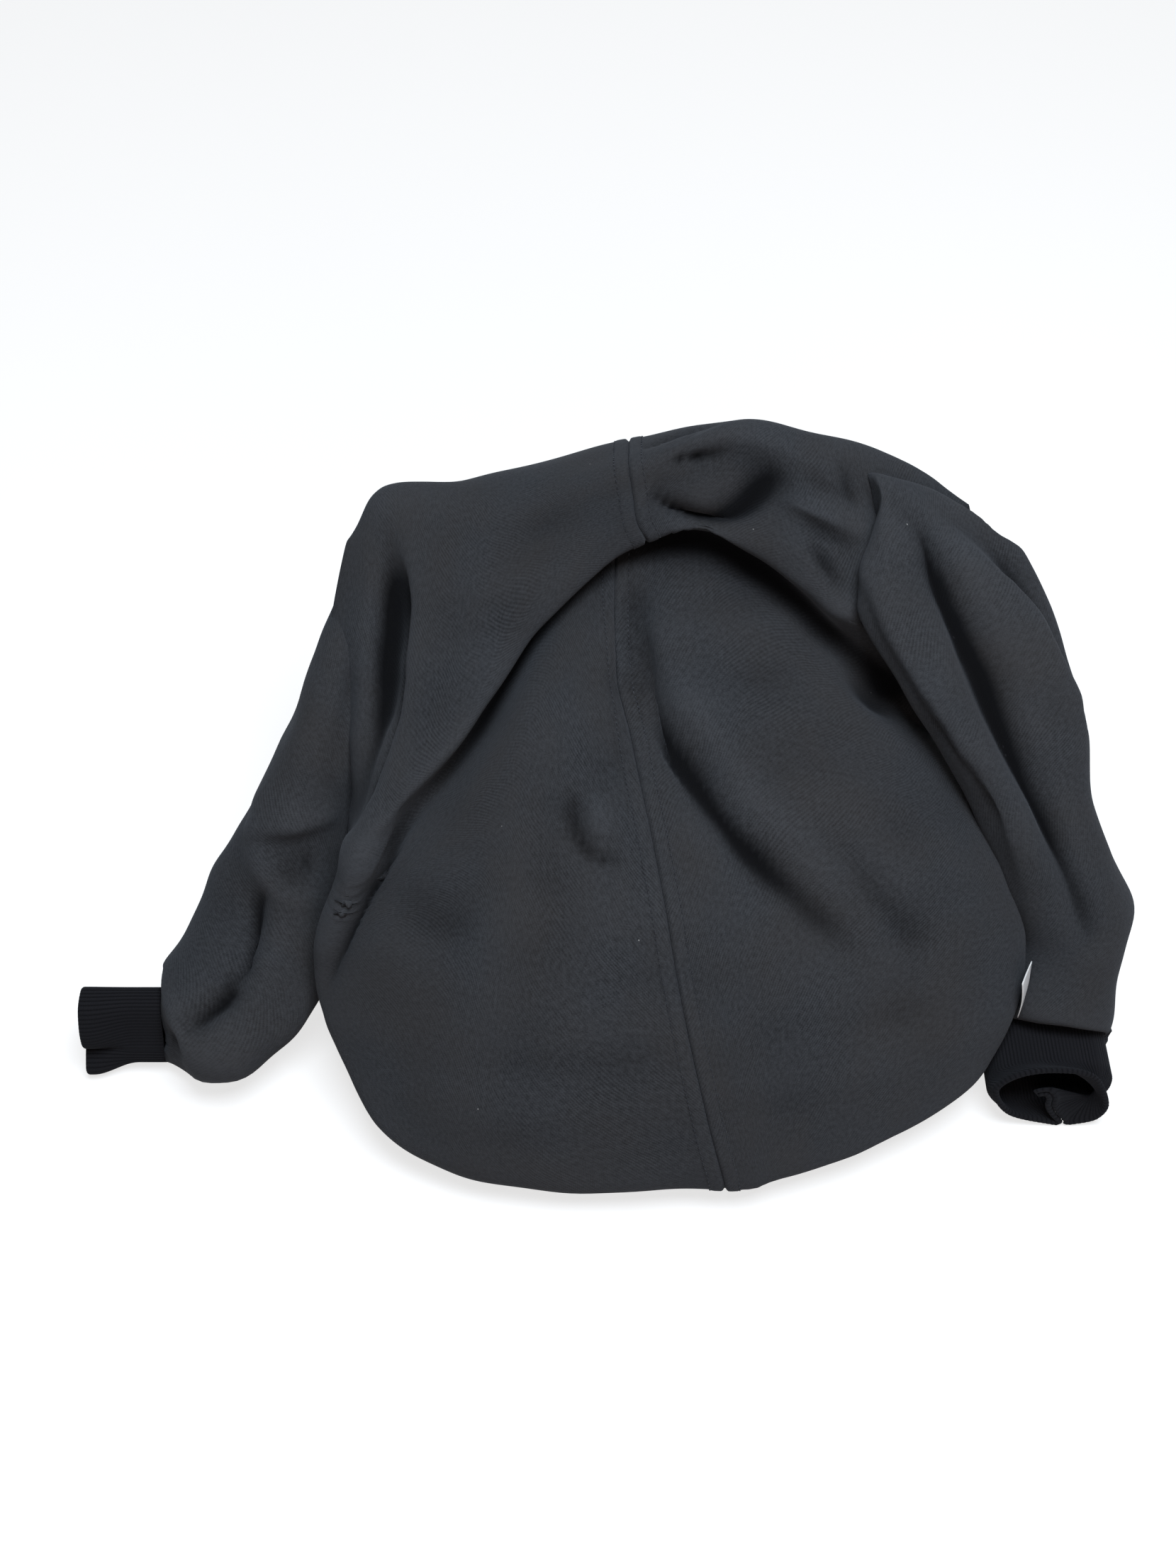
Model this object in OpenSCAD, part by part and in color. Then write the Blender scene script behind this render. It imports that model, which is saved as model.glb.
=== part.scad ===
// Film changing bag: a soft light-tight bag of black cotton jersey. It is loaded through a zipped mouth and
// worked through two sleeves. It lies on a table with its mouth at the rear and a sleeve down each side.

/* [Bag] */
// Width of the bag and its sleeves as they lie
pile_w = 450; // [430:5:470]
// Depth from the front of the bulge to the zipped mouth
pile_d = 352; // [345:1:365]
// Height of the ridge above the table
pile_h = 212; // [200:1:225]
// Thickness of the outer cloth
cloth_t = 1.6; // [1.2:0.1:2]
// Thickness of the inner bag's cloth
lining_t = 1; // [0.8:0.1:1.4]
// Thickness of the base cloth
base_t = 1.5; // [1.2:0.1:2]
// Gap that pieces sewn together keep where they don't touch
seam_gap = 0.3; // [0.2:0.05:0.5]
// Width of the tape that backs each seam
seam_tape_w = 15; // [10:1:20]
// Thickness of the tape that backs each seam
seam_tape_t = 0.6; // [0.4:0.1:0.8]

/* [Cuffs] */
// Length of each cuff
cuff_len = 34; // [28:1:40]
// Thickness of the double rib knit
rib_t = 2.4; // [2.2:0.1:3]
// Width of the elastic band in each cuff
elastic_w = 8; // [6:0.5:10]
// Thickness of the elastic band
elastic_t = 1; // [0.8:0.1:1.2]

/* [Zips] */
// Length of the outer chain between its stops
outer_chain = 190; // [180:2:196]
// Length of the inner chain between its stops
inner_chain = 156; // [146:2:162]
// Length of tape past each end of a chain
tape_tail = 8; // [6:1:10]
// Width of one side's tape
tape_w = 13; // [11:0.5:14]
// Thickness of the tape
tape_t = 0.6; // [0.5:0.05:0.8]
// Width of one row of coil
coil_w = 2.2; // [1.8:0.1:2.4]
// Height of the coil
coil_h = 2.2; // [2:0.1:2.6]
// Length of each slider
slider_len = 10; // [9:0.5:12]
// Thickness of each slider's plates
plate_t = 0.9; // [0.7:0.05:1.1]
// Length of each pull tab
pull_len = 24; // [20:1:28]
// Width of each pull tab
pull_w = 7; // [6:0.5:8]
// Thickness of each pull tab
pull_t = 1; // [0.8:0.1:1.2]

/* [Label] */
// Width of the sewn-in label
label_w = 12; // [8:1:16]
// Height of the sewn-in label
label_h = 24; // [18:1:30]
// Thickness of the label
label_t = 0.5; // [0.4:0.05:0.8]

/* [Hidden] */

// Size that the cloth's points are drawn at: a change of the bag's size stretches them. The step is from the
// middle of the drawing to the middle of the pile, which is the model's origin.
drawn = [450, 352, 212];
drawn_step = [0.7, 3.2, 0];
stretch = [pile_w / drawn.x, pile_d / drawn.y, pile_h / drawn.z];
function at(p) =
    let (q = p + drawn_step) [q.x * stretch.x, q.y * stretch.y, q.z * stretch.z];
function on_floor(p) = let (q = at([p.x, p.y, 0])) [q.x, q.y];
function at_net(net) = [for (column = net) [for (p = column) at(p)]];

// Lanes, clearances and small pieces of the zips
coil_lane = 1.4;
post_t = 0.8;
slide_gap = 0.3;
pivot_r = 0.7;
stop_len = 3;
hem_lap = 7;
tape_lap = 6;

// Places of the two zips
outer_zip_x = on_floor([28, 156]).x;
outer_zip_y = on_floor([28, 156]).y;
outer_zip_z = 17;
inner_zip_x = on_floor([28, 126]).x;
inner_zip_y = on_floor([28, 126]).y;
inner_zip_z = 8;
outer_hem_z = outer_zip_z + tape_t / 2 + seam_gap;
inner_hem_z = inner_zip_z + tape_t / 2 + seam_gap;
tape_reach = coil_lane / 2 + tape_w;
outer_rear_y = outer_zip_y + tape_reach + seam_gap + cloth_t;
inner_rear_y = inner_zip_y + tape_reach + seam_gap + lining_t;
inner_base_z = base_t + seam_gap;

// The outer cloth: columns run from the left side seam to the right one. Each column runs from the table at
// the front, up the bulge, under and over the fold and the ridge, and down the back.
seam_col = 4;
ridge_row = 11;
rear_row = 16;
cloth_net = at_net([
    [[-98, -90, 0], [-114, -92, 24], [-122, -80, 48], [-122, -66, 66], [-120, -56, 78], [-118, -50, 86],
     [-117, -45, 90], [-116, -40, 94], [-115, -34, 98], [-110, -14, 110], [-102, 24, 130], [-98, 56, 152],
     [-100, 34, 130], [-112, -14, 98], [-118, -54, 66], [-112, -78, 32], [-98, -76, 0]],
    [[-92, -122, 0], [-100, -146, 26], [-114, -118, 52], [-116, -94, 74], [-112, -80, 90], [-110, -72, 98],
     [-108, -66, 103], [-107, -60, 107], [-105, -54, 112], [-98, -38, 126], [-90, 10, 152], [-96, 60, 176],
     [-94, 82, 152], [-90, 62, 108], [-98, 22, 72], [-106, -4, 34], [-100, -6, 0]],
    [[-62, -140, 0], [-68, -168, 18], [-66, -158, 56], [-60, -130, 95], [-56, -96, 118], [-58, -62, 128],
     [-58, -34, 126], [-58, -28, 132], [-60, -44, 140], [-60, -36, 149], [-60, 15, 174], [-60, 62, 192],
     [-64, 94, 168], [-76, 108, 124], [-88, 106, 76], [-96, 98, 34], [-92, 92, 0]],
    [[-24, -150, 0], [-30, -177, 16], [-30, -168, 52], [-29, -140, 92], [-28, -96, 128], [-28, -24, 150],
     [-26, 22, 150], [-25, 28, 156], [-25, 8, 160], [-25, 12, 170], [-26, 40, 188], [-26, 62, 200],
     [-28, 98, 180], [-34, 126, 136], [-50, 142, 84], [-66, 142, 42], [-74, 148, 0]],
    [[44, -150, 0], [48, -177, 16], [40, -169, 50], [30, -144, 88], [20, -98, 124], [6, -10, 152],
     [4, 58, 160], [10, 62, 168], [17, 46, 174], [13, 46, 184], [11, 54, 195], [9, 66, 205],
     [10, 100, 188], [14, 130, 144], [20, 142, 88], [26, 140, 42], [28, 148, 0]],
    [[72, -148, 0], [70, -172, 16], [70, -162, 50], [68, -134, 88], [62, -84, 122], [56, 0, 150],
     [54, 50, 158], [56, 56, 167], [58, 40, 175], [58, 42, 185], [56, 58, 198], [54, 74, 210],
     [58, 106, 190], [66, 132, 148], [90, 144, 90], [116, 144, 44], [130, 148, 0]],
    [[104, -136, 0], [110, -158, 16], [112, -148, 48], [118, -116, 82], [122, -72, 110], [110, -20, 134],
     [100, 12, 140], [100, 18, 148], [102, 4, 160], [102, 10, 170], [98, 40, 190], [92, 68, 206],
     [98, 98, 182], [112, 110, 132], [130, 108, 80], [142, 100, 36], [140, 94, 0]],
    [[138, -112, 0], [150, -128, 24], [162, -112, 46], [164, -88, 70], [154, -64, 92], [138, -28, 110],
     [130, -12, 117], [130, -4, 124], [128, -4, 134], [124, 10, 146], [120, 38, 166], [114, 66, 188],
     [118, 90, 160], [126, 70, 118], [142, 28, 76], [152, 0, 36], [148, -4, 0]],
    [[146, -84, 0], [156, -88, 24], [166, -78, 48], [166, -60, 66], [156, -44, 82], [147, -28, 93],
     [142, -20, 98], [138, -10, 103], [135, 0, 109], [132, 14, 118], [128, 34, 136], [122, 58, 158],
     [126, 40, 138], [138, 8, 100], [154, -42, 70], [158, -68, 32], [146, -66, 0]]
]);

// The inner bag's front and back, drawn the same way
inner_ridge_row = 5;
inner_rear_row = 10;
inner_net = at_net([
    [[-88, -84, 0], [-104, -78, 40], [-104, -58, 70], [-94, -20, 96], [-82, 20, 118], [-78, 52, 128],
     [-82, 28, 112], [-92, -16, 82], [-98, -50, 54], [-94, -66, 20], [-86, -66, 0]],
    [[-78, -116, 0], [-92, -122, 40], [-92, -92, 76], [-80, -40, 108], [-66, 10, 128], [-66, 58, 138],
     [-72, 70, 112], [-78, 56, 80], [-86, 20, 50], [-92, 0, 24], [-86, -6, 0]],
    [[-20, -140, 0], [-24, -160, 36], [-22, -128, 84], [-16, -78, 120], [-14, 0, 138], [-14, 62, 142],
     [-18, 92, 122], [-30, 110, 86], [-42, 112, 50], [-48, 110, 24], [-50, 115, 0]],
    [[40, -142, 0], [38, -158, 36], [28, -134, 78], [18, -84, 112], [10, 0, 138], [10, 50, 146],
     [12, 92, 130], [18, 112, 90], [24, 114, 50], [28, 112, 24], [28, 115, 0]],
    [[96, -126, 0], [98, -140, 36], [100, -108, 74], [92, -60, 104], [82, 0, 126], [76, 60, 142],
     [80, 90, 120], [94, 106, 84], [102, 112, 48], [106, 110, 24], [106, 115, 0]],
    [[130, -100, 0], [140, -104, 40], [140, -76, 66], [126, -36, 94], [108, 12, 118], [100, 58, 134],
     [106, 70, 108], [120, 52, 76], [130, 20, 48], [138, 2, 24], [134, -4, 0]],
    [[136, -74, 0], [146, -70, 40], [144, -50, 60], [132, -22, 80], [118, 14, 106], [114, 50, 120],
     [118, 30, 102], [130, -10, 74], [138, -44, 48], [140, -56, 20], [134, -56, 0]]
]);

// Armholes in the outer cloth and the inner bag: [first column, last column, first row, last row]
left_hole = [0.5, 1, 12, 13];
right_hole = [6.5, 7.5, 9.5, 10.5];
inner_left_hole = [0, 1, 6, 7.5];
inner_right_hole = [5, 6, 6, 7.5];

// Each sleeve's rings from the armhole to the cuff: [middle, half thickness, half height, way if it is set]
left_rings = at_rings([
    [[-120, 14, 101], 12, 24, [-0.3, -0.72, -0.62]], [[-128, -4, 87], 14, 23], [[-140, -26, 70], 18, 21],
    [[-152, -50, 53], 24, 20], [[-160, -72, 38], 28, 21], [[-172, -88, 29], 25, 23], [[-183, -94, 24], 21, 22]
]);
right_rings = at_rings([
    [[136, 14, 172], 32, 9, [0.36, -0.72, -0.6]], [[148, -6, 154], 33, 10], [[161, -24, 134], 30, 12],
    [[175, -40, 112], 27, 14], [[189, -56, 90], 24, 17], [[199, -72, 67], 23, 19], [[200, -86, 46], 24, 20],
    [[194, -97, 30], 26, 21]
]);
function at_rings(rings) = [for (r = rings) concat([at(r[0])], [for (i = [1 : len(r) - 1]) r[i]])];

// The cuffs: middle of each mouth, and the outline as [sideways, up] points
left_cuff_at = at([-225, -95, 0]) + [0, 0, 21];
right_cuff_at = at([187, -134, 0]) + [0, 0, 20];
left_cuff_outline = [[8, -2], [11, 10], [5, 17], [-4, 14], [-8, 2], [-11, -10], [-6, -17], [3, -14]];
right_cuff_outline = [[26, -2], [20, 10], [0, 14], [-20, 11], [-27, 0], [-21, -12], [0, -16], [20, -13]];

// Outline of the outer and the inner base, without the rear edge
base_outline = [
    [-84, 150], [-88, 130], [-97, 94], [-105, 0], [-106, -40], [-103, -92], [-96, -126], [-64, -144],
    [-24, -154], [44, -154], [74, -152], [107, -140], [142, -115], [152, -84], [156, -40], [154, 0],
    [146, 96], [142, 130], [140, 150]
];
inner_base_outline = [
    [-58, 118], [-62, 112], [-76, 90], [-91, -2], [-92, -40], [-92, -86], [-81, -119], [-20, -144],
    [42, -146], [99, -130], [134, -103], [140, -74], [140, -40], [138, -2], [122, 90], [116, 112], [114, 118]
];

// Middle of the label's sewn edge, and its turn
label_at = at([171, -98.5, 44]);
label_turn = [0, 8, -35];

// ---- Smooth curves and sheets through points -----------------------------------------------------------

function pick(list, i) = list[max(0, min(len(list) - 1, i))];
function unit(v) = v / norm(v);
function flat(lists) = [for (list = lists, item = list) item];
function spline4(a, b, c, d, t) =
    b + t * (c - a) / 2 + t * t * (a - 2.5 * b + 2 * c - d / 2) + t * t * t * (1.5 * (b - c) + (d - a) / 2);
function on_curve(points, s) =
    let (n = len(points), i = max(0, min(n - 2, floor(s))))
    spline4(
        i > 0 ? points[i - 1] : 2 * points[0] - points[1], points[i], points[i + 1],
        i + 2 < n ? points[i + 2] : 2 * points[i + 1] - points[i], s - i);
function on_net(net, u, v) = on_curve([for (column = net) on_curve(column, v)], u);
function net_normal(net, u, v) =
    let (h = 0.02)
    unit(cross(on_net(net, u + h, v) - on_net(net, u - h, v), on_net(net, u, v + h) - on_net(net, u, v - h)));

// Values from first to last in steps, and a closed smooth loop through points
function steps(first, last, step) = [for (i = [0 : round((last - first) / step)]) first + i * step];
function loop_through(points, parts) =
    let (n = len(points))
    [for (i = [0 : n - 1], k = [0 : parts - 1])
        spline4(points[(i + n - 1) % n], points[i], points[(i + 1) % n], points[(i + 2) % n], k / parts)];
function inset(points, step) =
    let (n = len(points))
    [for (i = [0 : n - 1])
        let (d = unit(points[(i + 1) % n] - points[(i + n - 1) % n])) points[i] + step * [-d.y, d.x]];

function quad(a, b, c, d) = [[a, b, c], [a, c, d]];
function turned(faces, shift) = [for (f = faces) [f[2] + shift, f[1] + shift, f[0] + shift]];

// A sheet of cloth: outer and inner are grids of points, column by column, and the listed cells are left out
module cloth(outer, inner, is_open = function (i, j) false) {
    nu = len(outer);
    nv = len(outer[0]);
    under = nu * nv;
    function id(i, j) = i * nv + j;
    function open(i, j) = i < 0 || j < 0 || i > nu - 2 || j > nv - 2 || is_open(i, j);
    cells = [for (i = [0 : nu - 2], j = [0 : nv - 2]) if (!is_open(i, j)) [i, j]];
    skin = flat([for (c = cells)
        quad(id(c.x, c.y), id(c.x, c.y + 1), id(c.x + 1, c.y + 1), id(c.x + 1, c.y))]);
    function rim(a, b) = quad(a, a + under, b + under, b);
    rims = flat([for (c = cells) let (i = c.x, j = c.y) concat(
        open(i - 1, j) ? quad(id(i, j + 1), id(i, j), id(i, j) + under, id(i, j + 1) + under) : [],
        open(i + 1, j) ? rim(id(i + 1, j + 1), id(i + 1, j)) : [],
        open(i, j - 1) ? rim(id(i + 1, j), id(i, j)) : [],
        open(i, j + 1) ? rim(id(i, j + 1), id(i + 1, j + 1)) : [])]);
    polyhedron(concat(flat(outer), flat(inner)), concat(skin, turned(skin, under), rims), convexity = 8);
}

// A ring-shaped piece of cloth: outer and inner are lists of closed rings of points
module cloth_rings(outer, inner) {
    corners = len(outer[0]);
    rows = len(outer);
    under = rows * corners;
    function id(i, k) = i * corners + k % corners;
    skin = flat([for (i = [0 : rows - 2], k = [0 : corners - 1])
        quad(id(i, k), id(i, k + 1), id(i + 1, k + 1), id(i + 1, k))]);
    ends = flat([for (k = [0 : corners - 1]) concat(
        quad(id(0, k + 1), id(0, k), id(0, k) + under, id(0, k + 1) + under),
        quad(id(rows - 1, k), id(rows - 1, k + 1), id(rows - 1, k + 1) + under, id(rows - 1, k) + under))]);
    polyhedron(concat(flat(outer), flat(inner)), concat(skin, turned(skin, under), ends), convexity = 8);
}

// The net's points over columns us and rows vs at a depth under its face, none of them under the floor
function layer(net, us, vs, depth, floor, lift = 0) =
    [for (u = us) [for (v = vs)
        let (p = on_net(net, u, v) - depth * net_normal(net, u, v)) [p.x, p.y, max(p.z, floor(p) + lift)]]];
function within(holes, u, v) = len([for (h = holes) if (u > h[0] && u < h[1] && v > h[2] && v < h[3]) h]) > 0;
module net_cloth(net, us, vs, depth, thick, floor, holes = []) {
    cloth(
        layer(net, us, vs, depth, floor, thick), layer(net, us, vs, depth + thick, floor),
        function (i, j) within(holes, (us[i] + us[i + 1]) / 2, (vs[j] + vs[j + 1]) / 2));
}

// What the outer cloth and the inner bag stand on: their base, and at the rear a rise to their zip's tape
function rise(y, from, to) = max(0, min(1, (y - from) / (to - from)));
outer_floor = function (p)
    base_t + (outer_hem_z - base_t) * rise(p.y, outer_zip_y - tape_reach - 28, outer_zip_y - tape_reach - 6);
inner_floor = function (p)
    inner_base_z + lining_t
        + (inner_hem_z - inner_base_z - lining_t)
            * rise(p.y, inner_zip_y - tape_reach - 14, inner_zip_y - tape_reach - 1);

// Rings across a sleeve, each a middle, a half thickness and a half height
function ring_way(rings, i) =
    rings[i][3] != undef ? unit(rings[i][3]) : unit(pick(rings, i + 1)[0] - pick(rings, i - 1)[0]);
function ring_side(rings, i) = unit(cross(ring_way(rings, i), [0, 0, 1]));
function ring_up(rings, i) = cross(ring_side(rings, i), ring_way(rings, i));
function ring(rings, i, depth, corners, shift = 0) =
    [for (k = [0 : corners - 1]) let (a = 360 * k / corners)
        rings[i][0] + (rings[i][1] - depth) * cos(a) * ring_side(rings, i)
            + (rings[i][2] - depth) * sin(a) * ring_up(rings, i) + shift * ring_way(rings, i)];

// ---- The outer bag -------------------------------------------------------------------------------------

half_rows = steps(0, rear_row, 0.5);

module base_panel() {
    color("#26262a")
        linear_extrude(base_t)
            polygon(concat(
                [for (p = base_outline) on_floor(p)],
                [[on_floor(pick(base_outline, 99)).x, outer_rear_y],
                 [on_floor(base_outline[0]).x, outer_rear_y]]));
}

module left_half() {
    color("#2b2c30")
        net_cloth(
            cloth_net, concat(steps(0, 1, 0.25), steps(1.5, seam_col, 0.5)), half_rows, 0, cloth_t,
            outer_floor, [left_hole]);
}

module right_half() {
    color("#303136")
        net_cloth(
            cloth_net, concat(steps(seam_col, 7, 0.5), steps(7.25, 8, 0.25)), half_rows, 0, cloth_t,
            outer_floor, [right_hole]);
}

// A tape sewn on under the cloth beside a line of its net, which it follows over these rows
function along(near, far, from, to) =
    [for (j = [0 : len(near) - 1])
        let (over = far[j] - near[j])
        near[j] + over * max(from, min(0.9, to / norm(over)))];
function centre_rows(depth) =
    let (near = layer(cloth_net, [seam_col - 0.5, seam_col, seam_col + 0.5],
        steps(0.5, rear_row - 0.5, 0.5), depth, outer_floor))
    [along(near[1], near[0], 0, seam_tape_w / 2), near[1], along(near[1], near[2], 0, seam_tape_w / 2)];
module centre_seam_tape() {
    color("#1c1c20")
        cloth(centre_rows(cloth_t + seam_gap), centre_rows(cloth_t + seam_gap + seam_tape_t));
}

// The same inside each side seam, up the front edge of its half
function side_rows(columns, depth) =
    let (near = layer(cloth_net, columns, steps(1, ridge_row - 0.5, 0.5), depth, outer_floor))
    [along(near[0], near[1], 0.08, 0), along(near[0], near[1], 0.08, seam_tape_w)];
module left_side_seam() {
    columns = [0, 0.25];
    color("#1c1c20")
        cloth(side_rows(columns, cloth_t + seam_gap), side_rows(columns, cloth_t + seam_gap + seam_tape_t));
}
module right_side_seam() {
    columns = [len(cloth_net) - 1, len(cloth_net) - 1.25];
    color("#1c1c20")
        cloth(side_rows(columns, cloth_t + seam_gap + seam_tape_t), side_rows(columns, cloth_t + seam_gap));
}

// The base cloth's rear edge, turned up and over the rear tape of a zip
module rear_hem(x, length, rear_y, low_z, high_z, thick) {
    translate([x - length / 2, rear_y, low_z])
        cube([length, thick, high_z + thick - low_z]);
    translate([x - length / 2, rear_y - hem_lap, high_z])
        cube([length, hem_lap, thick]);
}
module mouth_hem() {
    color("#26262a")
        rear_hem(outer_zip_x, outer_tape, outer_rear_y - cloth_t, base_t, outer_hem_z, cloth_t);
}

// Tabs that close the mouth past both ends of the outer chain
module mouth_end_tabs() {
    front_y = outer_zip_y - tape_lap;
    tab = [
        tape_tail - stop_len - 2 * seam_gap, outer_rear_y - cloth_t - hem_lap - seam_gap - front_y, cloth_t];
    color("#232327")
        for (side = [-1, 1])
            translate([
                outer_zip_x + side * (outer_chain / 2 + stop_len + seam_gap + tab.x / 2) - tab.x / 2,
                front_y, outer_hem_z])
                cube(tab);
}

module care_label() {
    color("white")
        translate(label_at)
            rotate(label_turn)
                translate([0, -label_w, 0])
                    cube([label_t, label_w, label_h]);
}

// ---- The inner bag -------------------------------------------------------------------------------------

inner_columns = steps(0, len(inner_net) - 1, 0.5);

module inner_bag_front() {
    color("#1b1b1e")
        net_cloth(
            inner_net, inner_columns, steps(0, inner_ridge_row, 0.5), 0, lining_t,
            inner_floor);
}

// The back keeps a seam's gap from the front along the ridge, and is open at both armholes
module inner_bag_back() {
    first = inner_ridge_row + seam_gap / 25;
    rows = concat([first], steps(inner_ridge_row + 0.5, inner_rear_row, 0.5));
    color("#1e1e21")
        net_cloth(
            inner_net, inner_columns, rows, 0, lining_t, inner_floor,
            [inner_left_hole, inner_right_hole]);
}

module inner_bag_base() {
    color("#1b1b1e")
        translate([0, 0, inner_base_z])
            linear_extrude(lining_t)
                polygon(concat(
                    [for (p = inner_base_outline) on_floor(p)],
                    [[on_floor(pick(inner_base_outline, 99)).x, inner_rear_y],
                     [on_floor(inner_base_outline[0]).x, inner_rear_y]]));
}

module inner_mouth_hem() {
    color("#1b1b1e")
        rear_hem(
            inner_zip_x, inner_tape, inner_rear_y - lining_t, inner_base_z + lining_t, inner_hem_z, lining_t);
}

// ---- The sleeves ---------------------------------------------------------------------------------------

corners = 24;
lining_depth = cloth_t + seam_gap;
elastic_gap = 0.1;
swing_gap = 0.4;

// The cloth between an armhole and the sleeve's first ring: it leaves the bag square and turns to the sleeve
function hole_ring(hole, sense, depth) =
    let (
        mid_u = (hole[0] + hole[1]) / 2, mid_v = (hole[2] + hole[3]) / 2,
        reach = norm(on_net(cloth_net, hole[1], mid_v) - on_net(cloth_net, hole[0], mid_v)) / 2)
    [for (k = [0 : corners - 1])
        let (
            a = 360 * k / corners,
            s = sense * (1 - (depth + 2 * seam_gap) / reach) / max(abs(cos(a)), abs(sin(a))),
            u = mid_u + s * cos(a) * (hole[1] - hole[0]) / 2,
            v = mid_v - s * sin(a) * (hole[3] - hole[2]) / 2)
        on_net(cloth_net, u, v) - cloth_t / 2 * net_normal(cloth_net, u, v)];
module sleeve_root(hole, rings, sense) {
    middle = net_normal(cloth_net, (hole[0] + hole[1]) / 2, (hole[2] + hole[3]) / 2);
    function rows(depth) =
        let (
            from = hole_ring(hole, sense, depth),
            to = ring(rings, 0, depth, corners, -swing_gap),
            reach = 16, way = ring_way(rings, 0))
        [for (t = [0, 0.25, 0.5, 0.75, 1]) [for (k = [0 : corners - 1])
            let (a = from[k], b = a + reach * middle, c = to[k] - reach * way, d = to[k])
            pow(1 - t, 3) * a + 3 * t * pow(1 - t, 2) * b + 3 * t * t * (1 - t) * c + pow(t, 3) * d]];
    cloth_rings(rows(0), rows(cloth_t));
}

// A tube along the rings, which ends on the back of the cuff
module sleeve(rings, cuff, depth, thick) {
    function rows(d) = concat(
        [for (i = [0 : len(rings) - 1]) ring(rings, i, d, corners)],
        [cuff(d)]);
    cloth_rings(rows(depth), rows(depth + thick));
}
left_cuff_ring = function (d)
    [for (p = rib_points(left_cuff_outline, d)) left_cuff_at + [cuff_len + seam_gap, p.x, p.y]];
right_cuff_ring = function (d)
    [for (p = rib_points(right_cuff_outline, d)) right_cuff_at + [-p.x, cuff_len + seam_gap, p.y]];
function rib_points(outline, depth) = inset(loop_through(outline, corners / len(outline)), depth);

// The cuff is a folded rib, with the elastic band in a channel between its two plies
module rib_outline(outline, depth) {
    polygon(rib_points(outline, depth));
}
module rib(outline) {
    channel = elastic_t + 2 * elastic_gap;
    difference() {
        linear_extrude(cuff_len) rib_outline(outline, 0);
        translate([0, 0, -1]) linear_extrude(cuff_len + 2) rib_outline(outline, rib_t);
        translate([0, 0, cuff_len - elastic_w - 4])
            linear_extrude(elastic_w + 2 * elastic_gap)
                difference() {
                    rib_outline(outline, (rib_t - channel) / 2);
                    rib_outline(outline, (rib_t + channel) / 2);
                }
    }
}
module elastic(outline) {
    translate([0, 0, cuff_len - elastic_w - 4 + elastic_gap])
        linear_extrude(elastic_w)
            difference() {
                rib_outline(outline, (rib_t - elastic_t) / 2);
                rib_outline(outline, (rib_t + elastic_t) / 2);
            }
}
module at_left_cuff() { translate(left_cuff_at) rotate([90, 0, 90]) children(); }
module at_right_cuff() { translate(right_cuff_at) rotate([90, 0, 180]) children(); }

module left_sleeve_root() { color("#2b2c30") sleeve_root(left_hole, left_rings, 1); }
module right_sleeve_root() { color("#303136") sleeve_root(right_hole, right_rings, -1); }
module left_sleeve() { color("#33343a") sleeve(left_rings, left_cuff_ring, 0, cloth_t); }
module right_sleeve() { color("#33343a") sleeve(right_rings, right_cuff_ring, 0, cloth_t); }
module left_sleeve_lining() {
    color("#1b1b1e") sleeve(left_rings, left_cuff_ring, lining_depth, lining_t);
}
module right_sleeve_lining() {
    color("#1b1b1e") sleeve(right_rings, right_cuff_ring, lining_depth, lining_t);
}
module left_cuff() { color("#1f2024") at_left_cuff() rib(left_cuff_outline); }
module right_cuff() { color("#1f2024") at_right_cuff() rib(right_cuff_outline); }
module left_cuff_elastic() { color("#e8e6e0") at_left_cuff() elastic(left_cuff_outline); }
module right_cuff_elastic() { color("#e8e6e0") at_right_cuff() elastic(right_cuff_outline); }

// ---- The zips ------------------------------------------------------------------------------------------
// A zip is drawn along X with the middle of its chain at the origin and the middle of its tape at z = 0

outer_tape = outer_chain + 2 * tape_tail;
inner_tape = inner_chain + 2 * tape_tail;
coil_z = tape_t / 2;
top_z = coil_z + coil_h + slide_gap;
bottom_z = -tape_t / 2 - slide_gap - plate_t;
pivot_z = top_z + plate_t + slide_gap + pivot_r;
bridge_t = 0.9;
bridge_w = 2;
bridge_reach = pivot_r + slide_gap;

module tape(length, side) {
    color("#101012")
        translate([-length / 2, side > 0 ? coil_lane / 2 : -coil_lane / 2 - tape_w, -tape_t / 2])
            cube([length, tape_w, tape_t]);
}

// One row of coil: a bar with a rounded top
module coil(length, side) {
    color("#17171a")
        translate([-length / 2, side * (coil_lane + coil_w) / 2, coil_z])
            rotate([90, 0, 90])
                linear_extrude(length)
                    intersection() {
                        translate([0, coil_h - coil_w * 0.6]) circle(coil_w * 0.6, $fn = 24);
                        translate([-coil_w / 2, 0]) square([coil_w, coil_h]);
                    }
}

// Stops across both rows of coil, one at each end of the chain
module zip_stops(length) {
    color("#8a8a8e")
        for (side = [-1, 1])
            translate([
                side * (length + stop_len) / 2 - stop_len / 2, -coil_lane / 2 - coil_w, coil_z])
                cube([stop_len, coil_lane + 2 * coil_w, coil_h]);
}

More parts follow.
